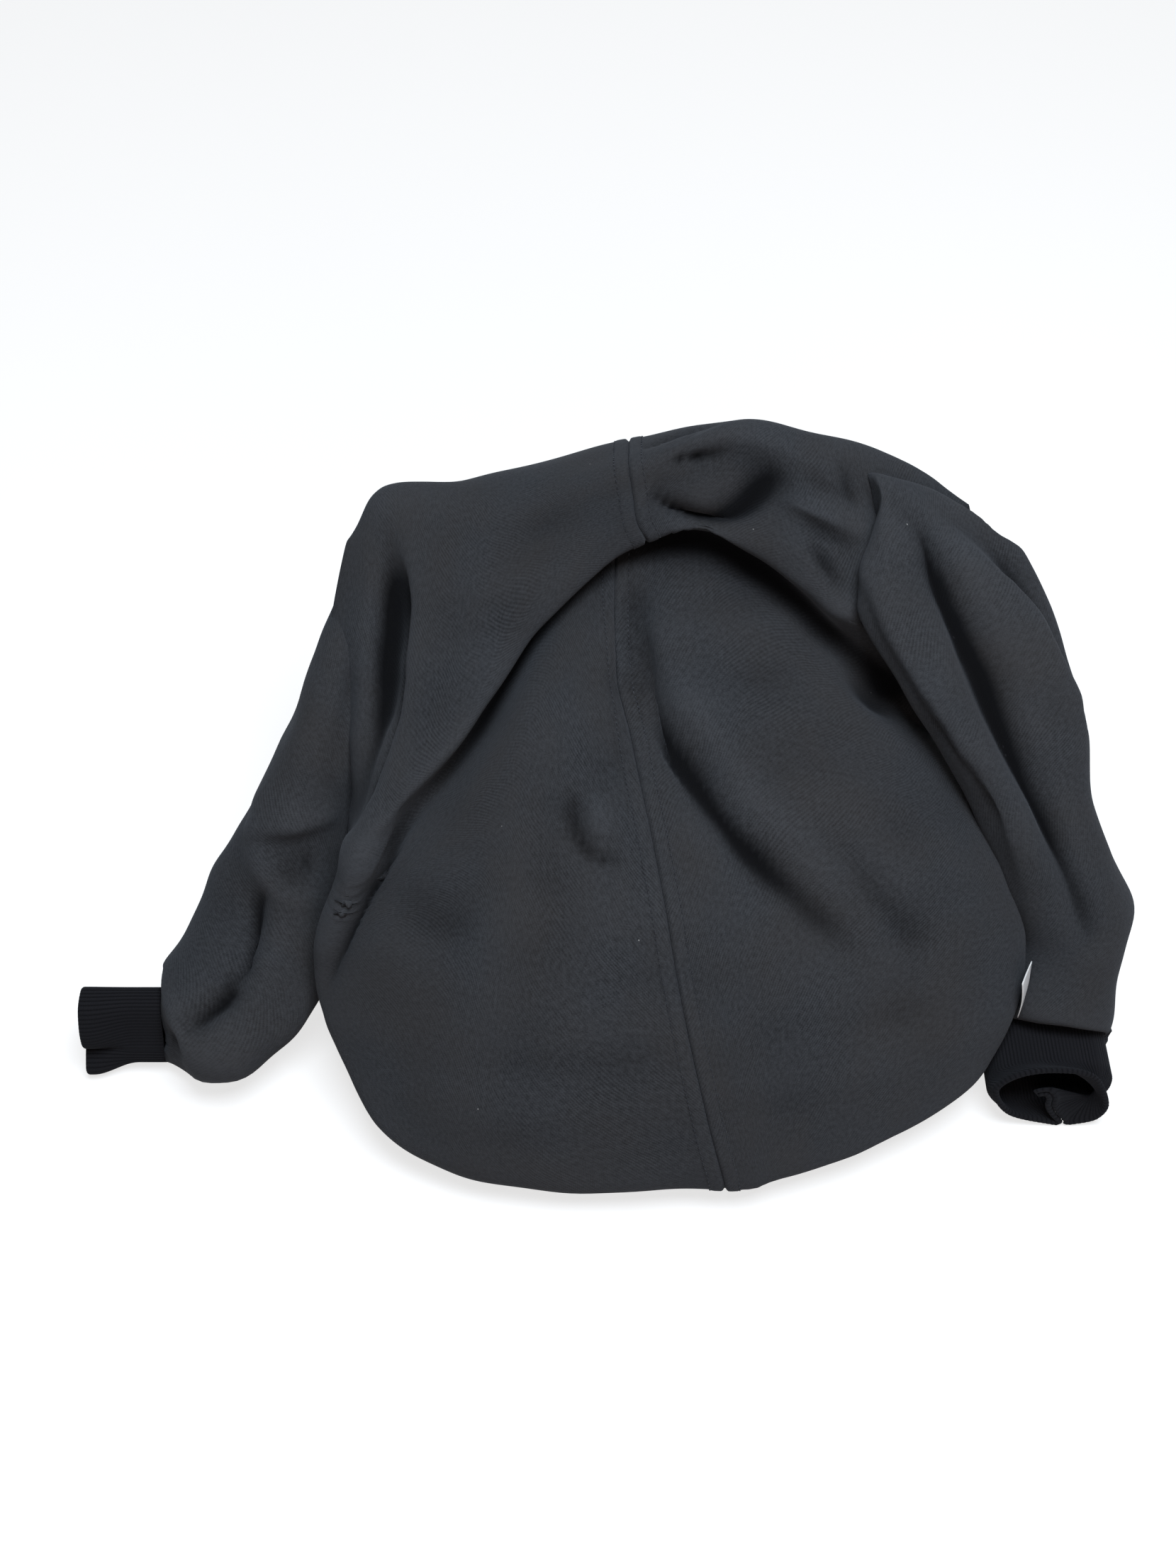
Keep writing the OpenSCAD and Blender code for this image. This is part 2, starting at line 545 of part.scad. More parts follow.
// Two plates joined by a post that runs in the lane, and a bridge that holds the pull's bar
module slider(half_w) {
    color("#6f7074") {
        for (z = [bottom_z, top_z])
            translate([0, 0, z]) slider_plate(half_w);
        translate([-slider_len / 2, -post_t / 2, bottom_z])
            cube([slider_len * 0.6, post_t, top_z - bottom_z + plate_t / 2]);
        for (side = [-1, 1])
            translate([side * (bridge_reach + bridge_t / 2) - bridge_t / 2, -bridge_w / 2, top_z])
                cube([bridge_t, bridge_w, pivot_z + bridge_reach + bridge_t - top_z]);
        translate([-bridge_reach - bridge_t, -bridge_w / 2, pivot_z + bridge_reach])
            cube([2 * (bridge_reach + bridge_t), bridge_w, bridge_t]);
    }
}
module slider_plate(half_w) {
    linear_extrude(plate_t)
        hull()
            for (x = [-1, 1], y = [-1, 1])
                translate([x * (slider_len / 2 - 2), y * (half_w - (x > 0 ? 2 : 2.8))]) circle(2, $fn = 24);
}

// A bar through the bridge, two arms past it and a flat tab
module pull() {
    arm = 1.2;
    inner_w = bridge_w + 2 * slide_gap;
    tab_x = bridge_reach + bridge_t + 1.5;
    color("#a9aaae") {
        rotate([90, 0, 0]) cylinder(r = pivot_r, h = inner_w + 2 * arm, center = true, $fn = 24);
        for (side = [-1, 1])
            translate([0, side * (inner_w + arm) / 2 - arm / 2, -pull_t / 2]) cube([tab_x + 1, arm, pull_t]);
        translate([tab_x, -pull_w / 2, -pull_t / 2])
            difference() {
                cube([pull_len - tab_x, pull_w, pull_t]);
                translate([pull_len - tab_x - 4.5, pull_w / 2, -1])
                    cylinder(d = pull_w * 0.4, h = pull_t + 2, $fn = 24);
            }
    }
}

slider_half_w = coil_lane / 2 + coil_w + 0.8;
module at_outer_zip() { translate([outer_zip_x, outer_zip_y, outer_zip_z]) children(); }
module at_inner_zip() { translate([inner_zip_x, inner_zip_y, inner_zip_z]) children(); }
outer_slider_x = -(outer_chain - slider_len) / 2 + slide_gap;
inner_slider_x = -(inner_chain - slider_len) / 2 + slide_gap;

module outer_tape_front() { at_outer_zip() tape(outer_tape, -1); }
module outer_tape_rear() { at_outer_zip() tape(outer_tape, 1); }
module outer_coil_front() { at_outer_zip() coil(outer_chain, -1); }
module outer_coil_rear() { at_outer_zip() coil(outer_chain, 1); }
module outer_zip_stops() { at_outer_zip() zip_stops(outer_chain); }
module outer_slider() { at_outer_zip() translate([outer_slider_x, 0, 0]) slider(slider_half_w); }
module outer_pull() { at_outer_zip() translate([outer_slider_x, 0, pivot_z]) pull(); }
module inner_tape_front() { at_inner_zip() tape(inner_tape, -1); }
module inner_tape_rear() { at_inner_zip() tape(inner_tape, 1); }
module inner_coil_front() { at_inner_zip() coil(inner_chain, -1); }
module inner_coil_rear() { at_inner_zip() coil(inner_chain, 1); }
module inner_zip_stops() { at_inner_zip() zip_stops(inner_chain); }
module inner_slider() { at_inner_zip() translate([inner_slider_x, 0, 0]) slider(slider_half_w); }
module inner_pull() { at_inner_zip() translate([inner_slider_x, 0, pivot_z]) pull(); }

base_panel();
left_half();
right_half();
centre_seam_tape();
left_side_seam();
right_side_seam();
inner_bag_front();
inner_bag_back();
inner_bag_base();
care_label();
mouth_hem();
mouth_end_tabs();
left_sleeve_root();
left_sleeve();
left_sleeve_lining();
left_cuff();
left_cuff_elastic();
right_sleeve_root();
right_sleeve();
right_sleeve_lining();
right_cuff();
right_cuff_elastic();
outer_tape_front();
outer_tape_rear();
outer_coil_front();
outer_coil_rear();
outer_zip_stops();
inner_mouth_hem();
inner_tape_front();
inner_tape_rear();
inner_coil_front();
inner_coil_rear();
inner_zip_stops();
outer_slider();
outer_pull();
inner_slider();
inner_pull();
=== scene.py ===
"""A soft film changing bag lying as a draped heap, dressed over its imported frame."""

import logging
import math
from dataclasses import dataclass, field
from enum import Enum
from typing import Callable, Sequence

import bmesh
import bpy
import numpy as np
from mathutils import Matrix, Vector


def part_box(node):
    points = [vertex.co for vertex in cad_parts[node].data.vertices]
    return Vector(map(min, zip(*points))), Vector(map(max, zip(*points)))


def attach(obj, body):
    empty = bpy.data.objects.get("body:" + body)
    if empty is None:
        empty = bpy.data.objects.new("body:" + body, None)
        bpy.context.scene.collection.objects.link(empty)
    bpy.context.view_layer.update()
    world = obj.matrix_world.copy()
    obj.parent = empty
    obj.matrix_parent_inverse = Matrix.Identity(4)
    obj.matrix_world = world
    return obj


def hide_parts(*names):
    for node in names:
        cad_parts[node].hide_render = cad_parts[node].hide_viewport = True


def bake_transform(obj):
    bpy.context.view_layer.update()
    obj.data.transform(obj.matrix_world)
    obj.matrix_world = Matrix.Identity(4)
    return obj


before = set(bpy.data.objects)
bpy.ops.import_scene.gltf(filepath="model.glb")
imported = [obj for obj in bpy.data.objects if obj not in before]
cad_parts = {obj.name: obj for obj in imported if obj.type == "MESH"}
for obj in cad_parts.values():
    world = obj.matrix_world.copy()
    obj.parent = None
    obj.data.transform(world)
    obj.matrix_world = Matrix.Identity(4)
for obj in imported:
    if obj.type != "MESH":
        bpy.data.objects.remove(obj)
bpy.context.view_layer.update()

log = logging.getLogger("changing_bag")

# Sizes are in millimetres, and MM makes them metres
MM = 0.001
# From the coordinates of the nets, outlines, rings, zips and cuffs to the frame's
SHIFT = np.array([0.7, 3.2, 0.0])
# Thickness of the outer cloth, the lining, the tapes and the base cloth
CLOTH = 1.6
LINING = 1.0
TAPE = 0.6
BASE = 1.5
# How far above or below the cloth a fold's line may lie, and the distance between its points
REACH = 16.0
FOLD_PITCH = 4.0
# Width of one wale of the knit and of one rib of the cuffs
KNIT_PITCH = 1.15
RIB_PITCH = 1.7
Points = np.ndarray
Line = Sequence[Sequence[float]]


# ---- Curves and nets ---------------------------------------------------------------------------------


def weights(places: np.ndarray, count: int) -> np.ndarray:
    """Blending weights of a smooth curve through evenly numbered points.

    Args:
        places: where on the curve, in point numbers.
        count: how many points the curve passes.

    Returns:
        One row per place, one column per point.
    """
    first = np.clip(np.floor(places).astype(int), 0, count - 2)
    t = places - first
    parts = np.stack(
        [
            -0.5 * t + t**2 - 0.5 * t**3,
            1 - 2.5 * t**2 + 1.5 * t**3,
            0.5 * t + 2 * t**2 - 1.5 * t**3,
            -0.5 * t**2 + 0.5 * t**3,
        ]
    )
    padded = np.zeros((len(places), count + 2))
    for k in range(4):
        padded[np.arange(len(places)), first + k] += parts[k]
    body = padded[:, 1:-1].copy()
    body[:, 0] += 2 * padded[:, 0]
    body[:, 1] -= padded[:, 0]
    body[:, -1] += 2 * padded[:, -1]
    body[:, -2] -= padded[:, -1]
    return body


def smooth_line(points: Line, pitch: float, closed: bool = False) -> Points:
    """Evenly spaced points on a smooth curve.

    Args:
        points: the points that the curve passes, in millimetres.
        pitch: distance between the points that come back.
        closed: whether the curve returns to its start.

    Returns:
        The points, one row each.
    """
    knots = np.array(points, float)
    if closed:
        knots = np.vstack([knots[-2:], knots, knots[:2]])
        places = np.linspace(2, len(knots) - 2, 60 * len(points) + 1)
    else:
        places = np.linspace(0, len(knots) - 1, 60 * len(points) + 1)
    fine = weights(places, len(knots)) @ knots
    along = lengths_along(fine)
    count = max(2, round(along[-1] / pitch) + 1)
    even = np.linspace(0, along[-1], count)
    return np.stack([np.interp(even, along, fine[:, k]) for k in range(fine.shape[1])], 1)


def lengths_along(line: Points) -> np.ndarray:
    """How far along a line each of its points lies."""
    return np.concatenate([[0], np.cumsum(np.linalg.norm(np.diff(line, axis=0), axis=1))])


def point_at(place: float, along: np.ndarray, line: Points) -> Vector:
    """The point of a line at a distance from its start."""
    return Vector([np.interp(place, along, line[:, k]) for k in range(3)])


def smooth_step(x: np.ndarray, low: float, high: float) -> np.ndarray:
    """Rises from 0 at low to 1 at high."""
    t = np.clip((x - low) / (high - low), 0, 1)
    return t * t * (3 - 2 * t)


def grid_normals(grid: Points) -> Points:
    """Unit normals of a grid of points, one for each point."""
    across = np.gradient(grid, axis=0)
    along = np.gradient(grid, axis=1)
    normal = np.cross(across, along)
    return normal / np.maximum(np.linalg.norm(normal, axis=2, keepdims=True), 1e-9)


class FoldKind(Enum):
    """How the cloth stands across a fold's line."""

    ROLL = "a rounded ridge"
    VALLEY = "a hollow with soft sides"
    CREASE = "a sharp hollow"
    LIP = "a ridge that falls off sharply to its left"


@dataclass(frozen=True)
class Fold:
    """A fold that runs along a line on the cloth.

    The line's points are x, y, z in millimetres. The lean is how far the fold's top hangs over to the
    left of its line.
    """

    kind: FoldKind
    line: Line
    width: float
    height: float
    lean: float = 0.0

    def moved(self, grid: Points, normals: Points, share: np.ndarray | float = 1.0) -> Points:
        """The cloth with this fold in it.

        Args:
            grid: the cloth's points.
            normals: the cloth's unit normals.
            share: how much of the fold each of the grid's rows takes.

        Returns:
            The moved points.
        """
        path = smooth_line(self.line, FOLD_PITCH)
        way = np.gradient(path, axis=0)
        way /= np.maximum(np.linalg.norm(way, axis=1, keepdims=True), 1e-9)
        flat = grid.reshape(-1, 3)
        gap = flat[:, None, :] - path[None, :, :]
        near = np.linalg.norm(gap, axis=2).argmin(1)
        offset = gap[np.arange(len(flat)), near]
        facing = normals.reshape(-1, 3)
        above = (offset * facing).sum(1)
        side = np.cross(way[near], facing)
        beside = np.linalg.norm(offset - above[:, None] * facing, axis=1)
        s = np.sign((offset * side).sum(1)) * beside / self.width
        past = np.clip((offset * way[near]).sum(1) / FOLD_PITCH, -0.5, 0.5)
        place = np.clip((near + past) / (len(path) - 1), 0, 1)
        ends = np.clip(np.sin(np.pi * place), 0, 1) ** 0.8 * np.exp(-((above / REACH) ** 4))
        if self.kind is FoldKind.ROLL:
            shape = np.exp(-(s**2))
        elif self.kind is FoldKind.VALLEY:
            shape = -np.exp(-(s**2))
        elif self.kind is FoldKind.CREASE:
            shape = -1 / (1 + (2.2 * s) ** 2) * np.exp(-((s / 2.2) ** 2))
        else:
            shape = np.where(s > 0, np.exp(-(s**2) / 1.4), np.exp(-((s * 3.2) ** 2)))
        push = (self.height * ends * shape)[:, None] * facing - (self.lean * ends * shape)[:, None] * side
        return grid + push.reshape(grid.shape) * np.reshape(share, (1, -1, 1))


@dataclass(frozen=True)
class Net:
    """A smooth sheet through columns of points, in millimetres."""

    columns: tuple

    def grid(self, us: np.ndarray, vs: np.ndarray) -> Points:
        """Points of the sheet.

        Args:
            us: net columns.
            vs: net rows.

        Returns:
            An array of columns by rows by three.
        """
        points = np.array(self.columns, float)
        across = weights(us, points.shape[0])
        along = weights(vs, points.shape[1])
        return np.einsum("ij,jkc,lk->ilc", across, points, along)


def relaxed(grid: Points, share: np.ndarray, times: int) -> Points:
    """Evens out a grid's points.

    Args:
        grid: the points.
        share: how much of the way each column goes, from 0 to 1.
        times: number of passes.

    Returns:
        The moved points, with the grid's edges where they were.
    """
    moved = grid.copy()
    for _ in range(times):
        around = (moved[2:, 1:-1] + moved[:-2, 1:-1] + moved[1:-1, 2:] + moved[1:-1, :-2]) / 4
        moved[1:-1, 1:-1] += 0.5 * share[1:-1, None, None] * (around - moved[1:-1, 1:-1])
    return moved


def relief_of(grid: Points) -> np.ndarray:
    """How far each point stands out of the cloth round it.

    Args:
        grid: the cloth's points.

    Returns:
        A number for each point, from -1 deep in a crease to 1 on a sharp ridge.
    """
    whole = np.ones(len(grid))
    near, far = relaxed(grid, whole, 30), relaxed(grid, whole, 160)
    normals = grid_normals(far)
    small, large = ((grid - near) * normals).sum(2), ((grid - far) * normals).sum(2)
    return 0.45 * np.clip(small / 2.6, -1, 1) + 0.55 * np.clip(large / 9.0, -1, 1)


def ripples(grid: Points, seed: int, size: float, height: float) -> np.ndarray:
    """Small soft unevenness, the same at every run.

    Args:
        grid: the cloth's points.
        seed: seed of the waves.
        size: usual distance between two crests.
        height: usual height.

    Returns:
        A height for each point.
    """
    rng = np.random.default_rng(seed)
    total = np.zeros(grid.shape[:2])
    for _ in range(14):
        way = rng.normal(size=3)
        way *= 2 * math.pi / (size * rng.uniform(0.7, 1.8) * np.linalg.norm(way))
        total += np.sin(grid @ way + rng.uniform(0, 2 * math.pi))
    return height * total / math.sqrt(7)


# ---- Meshes ------------------------------------------------------------------------------------------


def place_grid(bm: bmesh.types.BMesh, grid: Points, measure: np.ndarray, skip: np.ndarray | None = None,
               relief: np.ndarray | None = None) -> None:
    """Makes a grid of faces and moves it to the points given.

    Args:
        bm: the mesh to add to.
        grid: points in millimetres, columns by rows by three.
        measure: where each point lies on the flat cloth, in millimetres, columns by rows by two.
        skip: cells to leave out, columns less one by rows less one.
        relief: how far each point stands out of the cloth round it, from -1 to 1.
    """
    nu, nv = grid.shape[:2]
    stand = bm.verts.layers.float.new("relief") if relief is not None else None
    made = bmesh.ops.create_grid(bm, x_segments=nu - 1, y_segments=nv - 1, size=1.0)
    layer = bm.loops.layers.uv.verify()
    spot = {}
    for vert in made["verts"]:
        i = round((vert.co.x + 1) / 2 * (nu - 1))
        j = round((vert.co.y + 1) / 2 * (nv - 1))
        spot[vert] = (i, j)
    faces = {f for v in made["verts"] for f in v.link_faces}
    gone = []
    for face in faces:
        places = [spot[loop.vert] for loop in face.loops]
        for loop, (i, j) in zip(face.loops, places):
            loop[layer].uv = measure[i, j]
        face.smooth = True
        cell = min(p[0] for p in places), min(p[1] for p in places)
        if skip is not None and skip[cell]:
            gone.append(face)
    for vert, (i, j) in spot.items():
        vert.co = grid[i, j] * MM
        if stand is not None:
            vert[stand] = float(relief[i, j])
    if gone:
        bmesh.ops.delete(bm, geom=gone, context="FACES")


def measured(grid: Points) -> np.ndarray:
    """Where each point of a grid lies on the flat cloth, in millimetres.

    Args:
        grid: points in millimetres.

    Returns:
        An array of columns by rows by two.
    """
    across = np.linalg.norm(np.diff(grid, axis=0), axis=2).mean(1)
    along = np.linalg.norm(np.diff(grid, axis=1), axis=2).mean(0)
    x = np.concatenate([[0], np.cumsum(across)])
    y = np.concatenate([[0], np.cumsum(along)])
    return np.stack(np.meshgrid(x, y, indexing="ij"), 2)


def add_object(name: str, bm: bmesh.types.BMesh) -> bpy.types.Object:
    """Turns a bmesh into an object at the origin.

    Args:
        name: the piece's name.
        bm: its mesh, in metres, which is freed.

    Returns:
        The object.
    """
    mesh = bpy.data.meshes.new(name)
    bm.to_mesh(mesh)
    bm.free()
    piece = bpy.data.objects.new(name, mesh)
    bpy.context.scene.collection.objects.link(piece)
    return piece


def thicken(piece: bpy.types.Object, thickness: float, offset: float = -1.0) -> None:
    """Gives a sheet its thickness, and applies it.

    Args:
        piece: the sheet, whose faces point outwards.
        thickness: in millimetres.
        offset: -1 keeps the sheet's own face outside, 1 inside.
    """
    solid = piece.modifiers.new("thickness", "SOLIDIFY")
    solid.thickness = thickness * MM
    solid.offset = offset
    apply_modifiers(piece)


def apply_modifiers(piece: bpy.types.Object) -> None:
    """Bakes a piece's modifiers into its mesh."""
    bpy.context.view_layer.update()
    graph = bpy.context.evaluated_depsgraph_get()
    mesh = bpy.data.meshes.new_from_object(piece.evaluated_get(graph))
    old = piece.data
    piece.modifiers.clear()
    piece.data = mesh
    bpy.data.meshes.remove(old)
    mesh.name = piece.name


def sheet_object(name: str, grid: Points, thickness: float, skip: np.ndarray | None = None,
                 closed: bool = False, measure: np.ndarray | None = None,
                 relief: np.ndarray | None = None) -> bpy.types.Object:
    """A sheet of cloth through a grid of points.

    Args:
        name: the piece's name.
        grid: points of its outer face in millimetres.
        thickness: of the cloth, in millimetres.
        skip: cells to leave out.
        closed: whether the last column meets the first one.
        measure: places on the flat cloth, or None to work them out.
        relief: how far each point stands out of the cloth round it, from -1 to 1.

    Returns:
        The object, with its thickness.
    """
    bm = bmesh.new()
    place_grid(bm, grid, measured(grid) if measure is None else measure, skip, relief)
    if closed:
        bmesh.ops.remove_doubles(bm, verts=bm.verts[:], dist=1e-6)
    piece = add_object(name, bm)
    thicken(piece, thickness)
    return piece


def finish_piece(piece: bpy.types.Object, material: bpy.types.Material, nodes: Sequence[str],
                 body: str = "bag", bend: tuple | None = None) -> bpy.types.Object:
    """Dresses a piece, hides the solids that it stands for and puts it on its body, or bakes it in place when
    bend is given.

    Args:
        piece: the object.
        material: its finish.
        nodes: the solids that it stands for.
        body: the body that it rides on.
        bend: other body, start and end in millimetres, where the piece crosses a joint; these values are not
            used, only whether bend is given.

    Returns:
        The object.
    """
    piece.data.materials.clear()
    piece.data.materials.append(material)
    if nodes:
        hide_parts(*nodes)
    if bend:
        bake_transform(piece)
    else:
        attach(piece, body)
    log.info("%s: %d faces", piece.name, len(piece.data.polygons))
    return piece


# ---- Finishes ----------------------------------------------------------------------------------------


@dataclass
class Nodes:
    """A short hand for building the nodes of a material or a group."""

    tree: bpy.types.NodeTree

    def add(self, kind: str, **settings: object) -> bpy.types.Node:
        """Adds a node and sets its properties or the defaults of its inputs."""
        node = self.tree.nodes.new(kind)
        for key, value in settings.items():
            if key.startswith("in_"):
                label = key[3:]
                self.feed(node.inputs[int(label) if label.isdigit() else label.replace("_", " ")], value)
            else:
                setattr(node, key, value)
        return node

    def feed(self, socket: bpy.types.NodeSocket, value: object) -> None:
        """Links an output to a socket, or sets the socket's value."""
        if isinstance(value, bpy.types.NodeSocket):
            self.tree.links.new(value, socket)
        else:
            socket.default_value = value

    def math(self, operation: str, a: object, b: object = 0.0, c: object = 0.0) -> bpy.types.NodeSocket:
        """The result of a Math node."""
        return self.add("ShaderNodeMath", operation=operation, in_0=a, in_1=b, in_2=c).outputs[0]

    def noise(self, vector: object, scale: float, detail: float = 2.0) -> bpy.types.NodeSocket:
        """The value of a Noise Texture."""
        node = self.add("ShaderNodeTexNoise", in_Scale=scale, in_Detail=detail)
        self.feed(node.inputs["Vector"], vector)
        return node.outputs[0]

    def mix(self, share: object, a: object, b: object) -> bpy.types.NodeSocket:
        """A colour between two colours."""
        node = self.add("ShaderNodeMix", data_type="RGBA")
        self.feed(node.inputs[0], share)
        self.feed(node.inputs[6], a)
        self.feed(node.inputs[7], b)
        return node.outputs[2]

    def level(self, value: object, low: float, high: float, to_low: float,
              to_high: float) -> bpy.types.NodeSocket:
        """Moves a value from one range to another, and keeps it there."""
        node = self.add("ShaderNodeMapRange")
        for socket, number in zip(node.inputs, (value, low, high, to_low, to_high)):
            self.feed(socket, number)
        return node.outputs[0]


def new_group(name: str, inputs: dict[str, tuple[str, object]], outputs: dict[str, str]) -> tuple:
    """Starts a shader node group with named sockets.

    Args:
        name: the group's name.
        inputs: socket kinds and defaults by name.
        outputs: socket kinds by name.

    Returns:
        The group, its nodes, its input node and its output node.
    """
    group = bpy.data.node_groups.new(name, "ShaderNodeTree")
    for label, (kind, value) in inputs.items():
        socket = group.interface.new_socket(label, in_out="INPUT", socket_type=kind)
        if value is not None:
            socket.default_value = value
    for label, kind in outputs.items():
        group.interface.new_socket(label, in_out="OUTPUT", socket_type=kind)
    nodes = Nodes(group)
    return group, nodes, nodes.add("NodeGroupInput"), nodes.add("NodeGroupOutput")


def knit_group() -> bpy.types.NodeTree:
    """Brushed cotton knit: slanting wales, fuzz, soft colour changes and a little lint, with painted shade in
    creases and painted light on ridges read from the cloth's relief.
    """
    group, n, src, out = new_group(
        "brushed_knit",
        {
            "Place": ("NodeSocketVector", None),
            "Slant": ("NodeSocketFloat", 1.0),
            "Pitch": ("NodeSocketFloat", KNIT_PITCH),
            "Deep": ("NodeSocketColor", (0.01, 0.01, 0.011, 1)),
            "Lit": ("NodeSocketColor", (0.03, 0.031, 0.034, 1)),
            "Warm": ("NodeSocketColor", (0.03, 0.024, 0.02, 1)),
            "Lint": ("NodeSocketFloat", 1.0),
            "Relief": ("NodeSocketFloat", 0.0),
        },
        {"Color": "NodeSocketColor", "Height": "NodeSocketFloat", "Roughness": "NodeSocketFloat"},
    )
    place = src.outputs["Place"]
    axes = n.add("ShaderNodeSeparateXYZ", in_0=place)
    slanted = n.math("MULTIPLY", axes.outputs[0], src.outputs["Slant"])
    wander = n.level(n.noise(place, 0.03, 1), 0.3, 0.7, -2.0, 2.0)
    across = n.math("ADD", n.math("MULTIPLY", n.math("ADD", slanted, axes.outputs[1]), 0.7071), wander)
    along = n.math("MULTIPLY", n.math("SUBTRACT", slanted, axes.outputs[1]), 0.7071)
    turn = n.math("DIVIDE", across, src.outputs["Pitch"])
    wale = n.math("SINE", n.math("MULTIPLY", turn, 2 * math.pi))
    loops = n.math("SINE", n.math(
        "MULTIPLY", n.math("ADD", along, n.math("MULTIPLY", turn, 0.4)), 2 * math.pi / 0.85))
    knit = n.math("ADD", n.math("MULTIPLY", wale, 0.5), n.math(
        "MULTIPLY", n.math("MULTIPLY", wale, loops), 0.28))
    worn = n.level(n.noise(place, 0.045, 3), 0.35, 0.68, 0.15, 1.0)
    fuzz = n.noise(place, 2.6, 4)
    tufts = n.noise(place, 0.55, 3)
    height = n.math("ADD", n.math("MULTIPLY", knit, worn), n.math(
        "MULTIPLY", n.level(fuzz, 0.2, 0.8, -1, 1), 0.55))
    height = n.math("ADD", height, n.math("MULTIPLY", n.level(tufts, 0.25, 0.75, -1, 1), 0.35))
    shade = n.math("ADD", n.math("MULTIPLY", n.math("MULTIPLY", knit, worn), 0.42), n.level(
        fuzz, 0.3, 0.7, 0.15, 0.75))
    shade = n.math("ADD", shade, n.level(tufts, 0.32, 0.68, -0.2, 0.2))
    # Painted shade and light: the relief attribute darkens the colour in creases and lightens it on ridges.
    shade = n.math("ADD", shade, n.math("MULTIPLY", src.outputs["Relief"], 0.45))
    body = n.mix(shade, src.outputs["Deep"], src.outputs["Lit"])
    patch = n.level(n.noise(place, 0.018, 3), 0.38, 0.66, 0.0, 1.0)
    body = n.mix(n.math("MULTIPLY", patch, 0.3), body, src.outputs["Warm"])
    cells = n.add("ShaderNodeTexVoronoi", feature="F1", in_Scale=0.085)
    n.feed(cells.inputs["Vector"], n.add(
        "ShaderNodeVectorMath", operation="ADD", in_0=place,
        in_1=n.add("ShaderNodeTexNoise", in_Scale=1.4).outputs[1]).outputs[0])
    speck = n.level(cells.outputs["Distance"], 0.012, 0.03, 1.0, 0.0)
    draw = n.add("ShaderNodeSeparateColor", in_0=cells.outputs["Color"]).outputs[0]
    chosen = n.math("GREATER_THAN", draw, 0.72)
    lint = n.math("MULTIPLY", n.math("MULTIPLY", speck, chosen), src.outputs["Lint"])
    # Painted shade: the deepest creases fade towards a near-black colour.
    painted_crease_shade = n.math("POWER", n.level(src.outputs["Relief"], -0.7, 0.1, 0.97, 0.0), 1.5)
    body = n.mix(painted_crease_shade, body, (0.0012, 0.0012, 0.0016, 1))
    body = n.mix(n.math("MULTIPLY", lint, 0.8), body, (0.45, 0.45, 0.44, 1))
    n.feed(out.inputs["Color"], body)
    n.feed(out.inputs["Height"], height)
    n.feed(out.inputs["Roughness"], n.level(fuzz, 0.2, 0.8, 0.8, 1.0))
    return group


def weave_group() -> bpy.types.NodeTree:
    """Close woven cloth or tape: two crossing sets of threads with a slight twill."""
    group, n, src, out = new_group(
        "close_weave",
        {
            "Place": ("NodeSocketVector", None),
            "Thread": ("NodeSocketFloat", 0.5),
            "Deep": ("NodeSocketColor", (0.006, 0.006, 0.007, 1)),
            "Lit": ("NodeSocketColor", (0.02, 0.02, 0.022, 1)),
        },
        {"Color": "NodeSocketColor", "Height": "NodeSocketFloat"},
    )
    axes = n.add("ShaderNodeSeparateXYZ", in_0=src.outputs["Place"])
    waves = []
    for k in range(2):
        turn = n.math("MULTIPLY", n.math("DIVIDE", axes.outputs[k], src.outputs["Thread"]), math.pi)
        waves.append(n.math("SINE", turn))
    cross = n.math("MULTIPLY", waves[0], waves[1])
    twill = n.math("SINE", n.math("MULTIPLY", n.math("DIVIDE", n.math(
        "ADD", axes.outputs[0], axes.outputs[1]), src.outputs["Thread"]), math.pi / 2))
    grain = n.noise(src.outputs["Place"], 1.1, 3)
    height = n.math("ADD", n.math("MULTIPLY", cross, 0.6), n.math("MULTIPLY", twill, 0.4))
    shade = n.math("ADD", n.level(height, -1, 1, 0.2, 0.7), n.level(grain, 0.3, 0.7, -0.2, 0.2))
    n.feed(out.inputs["Color"], n.mix(shade, src.outputs["Deep"], src.outputs["Lit"]))
    n.feed(out.inputs["Height"], height)
    return group


def rib_group() -> bpy.types.NodeTree:
    """Rib knit: round ribs along the cuff with stacked loops."""
    group, n, src, out = new_group(
        "rib_knit",
        {
            "Place": ("NodeSocketVector", None),
            "Pitch": ("NodeSocketFloat", RIB_PITCH),
            "Deep": ("NodeSocketColor", (0.004, 0.004, 0.005, 1)),
            "Lit": ("NodeSocketColor", (0.02, 0.02, 0.022, 1)),
        },
        {"Color": "NodeSocketColor", "Height": "NodeSocketFloat"},
    )
    axes = n.add("ShaderNodeSeparateXYZ", in_0=src.outputs["Place"])
    turn = n.math("MULTIPLY", n.math("DIVIDE", axes.outputs[0], src.outputs["Pitch"]), 2 * math.pi)
    rib = n.math("POWER", n.math("ABSOLUTE", n.math("SINE", n.math("MULTIPLY", turn, 0.5))), 0.6)
    lean = n.math("MULTIPLY", n.math("ABSOLUTE", n.math("SINE", turn)), 0.5)
    loops = n.math("SINE", n.math("MULTIPLY", n.math("ADD", axes.outputs[1], lean), 2 * math.pi / 1.2))
    fuzz = n.noise(src.outputs["Place"], 2.4, 4)
    height = n.math("ADD", rib, n.math("ADD", n.math("MULTIPLY", loops, 0.15), n.level(
        fuzz, 0.2, 0.8, -0.2, 0.2)))
    shade = n.math("ADD", n.level(rib, 0, 1, 0.05, 0.65), n.level(fuzz, 0.3, 0.7, -0.15, 0.15))
    n.feed(out.inputs["Color"], n.mix(shade, src.outputs["Deep"], src.outputs["Lit"]))
    n.feed(out.inputs["Height"], height)
    return group


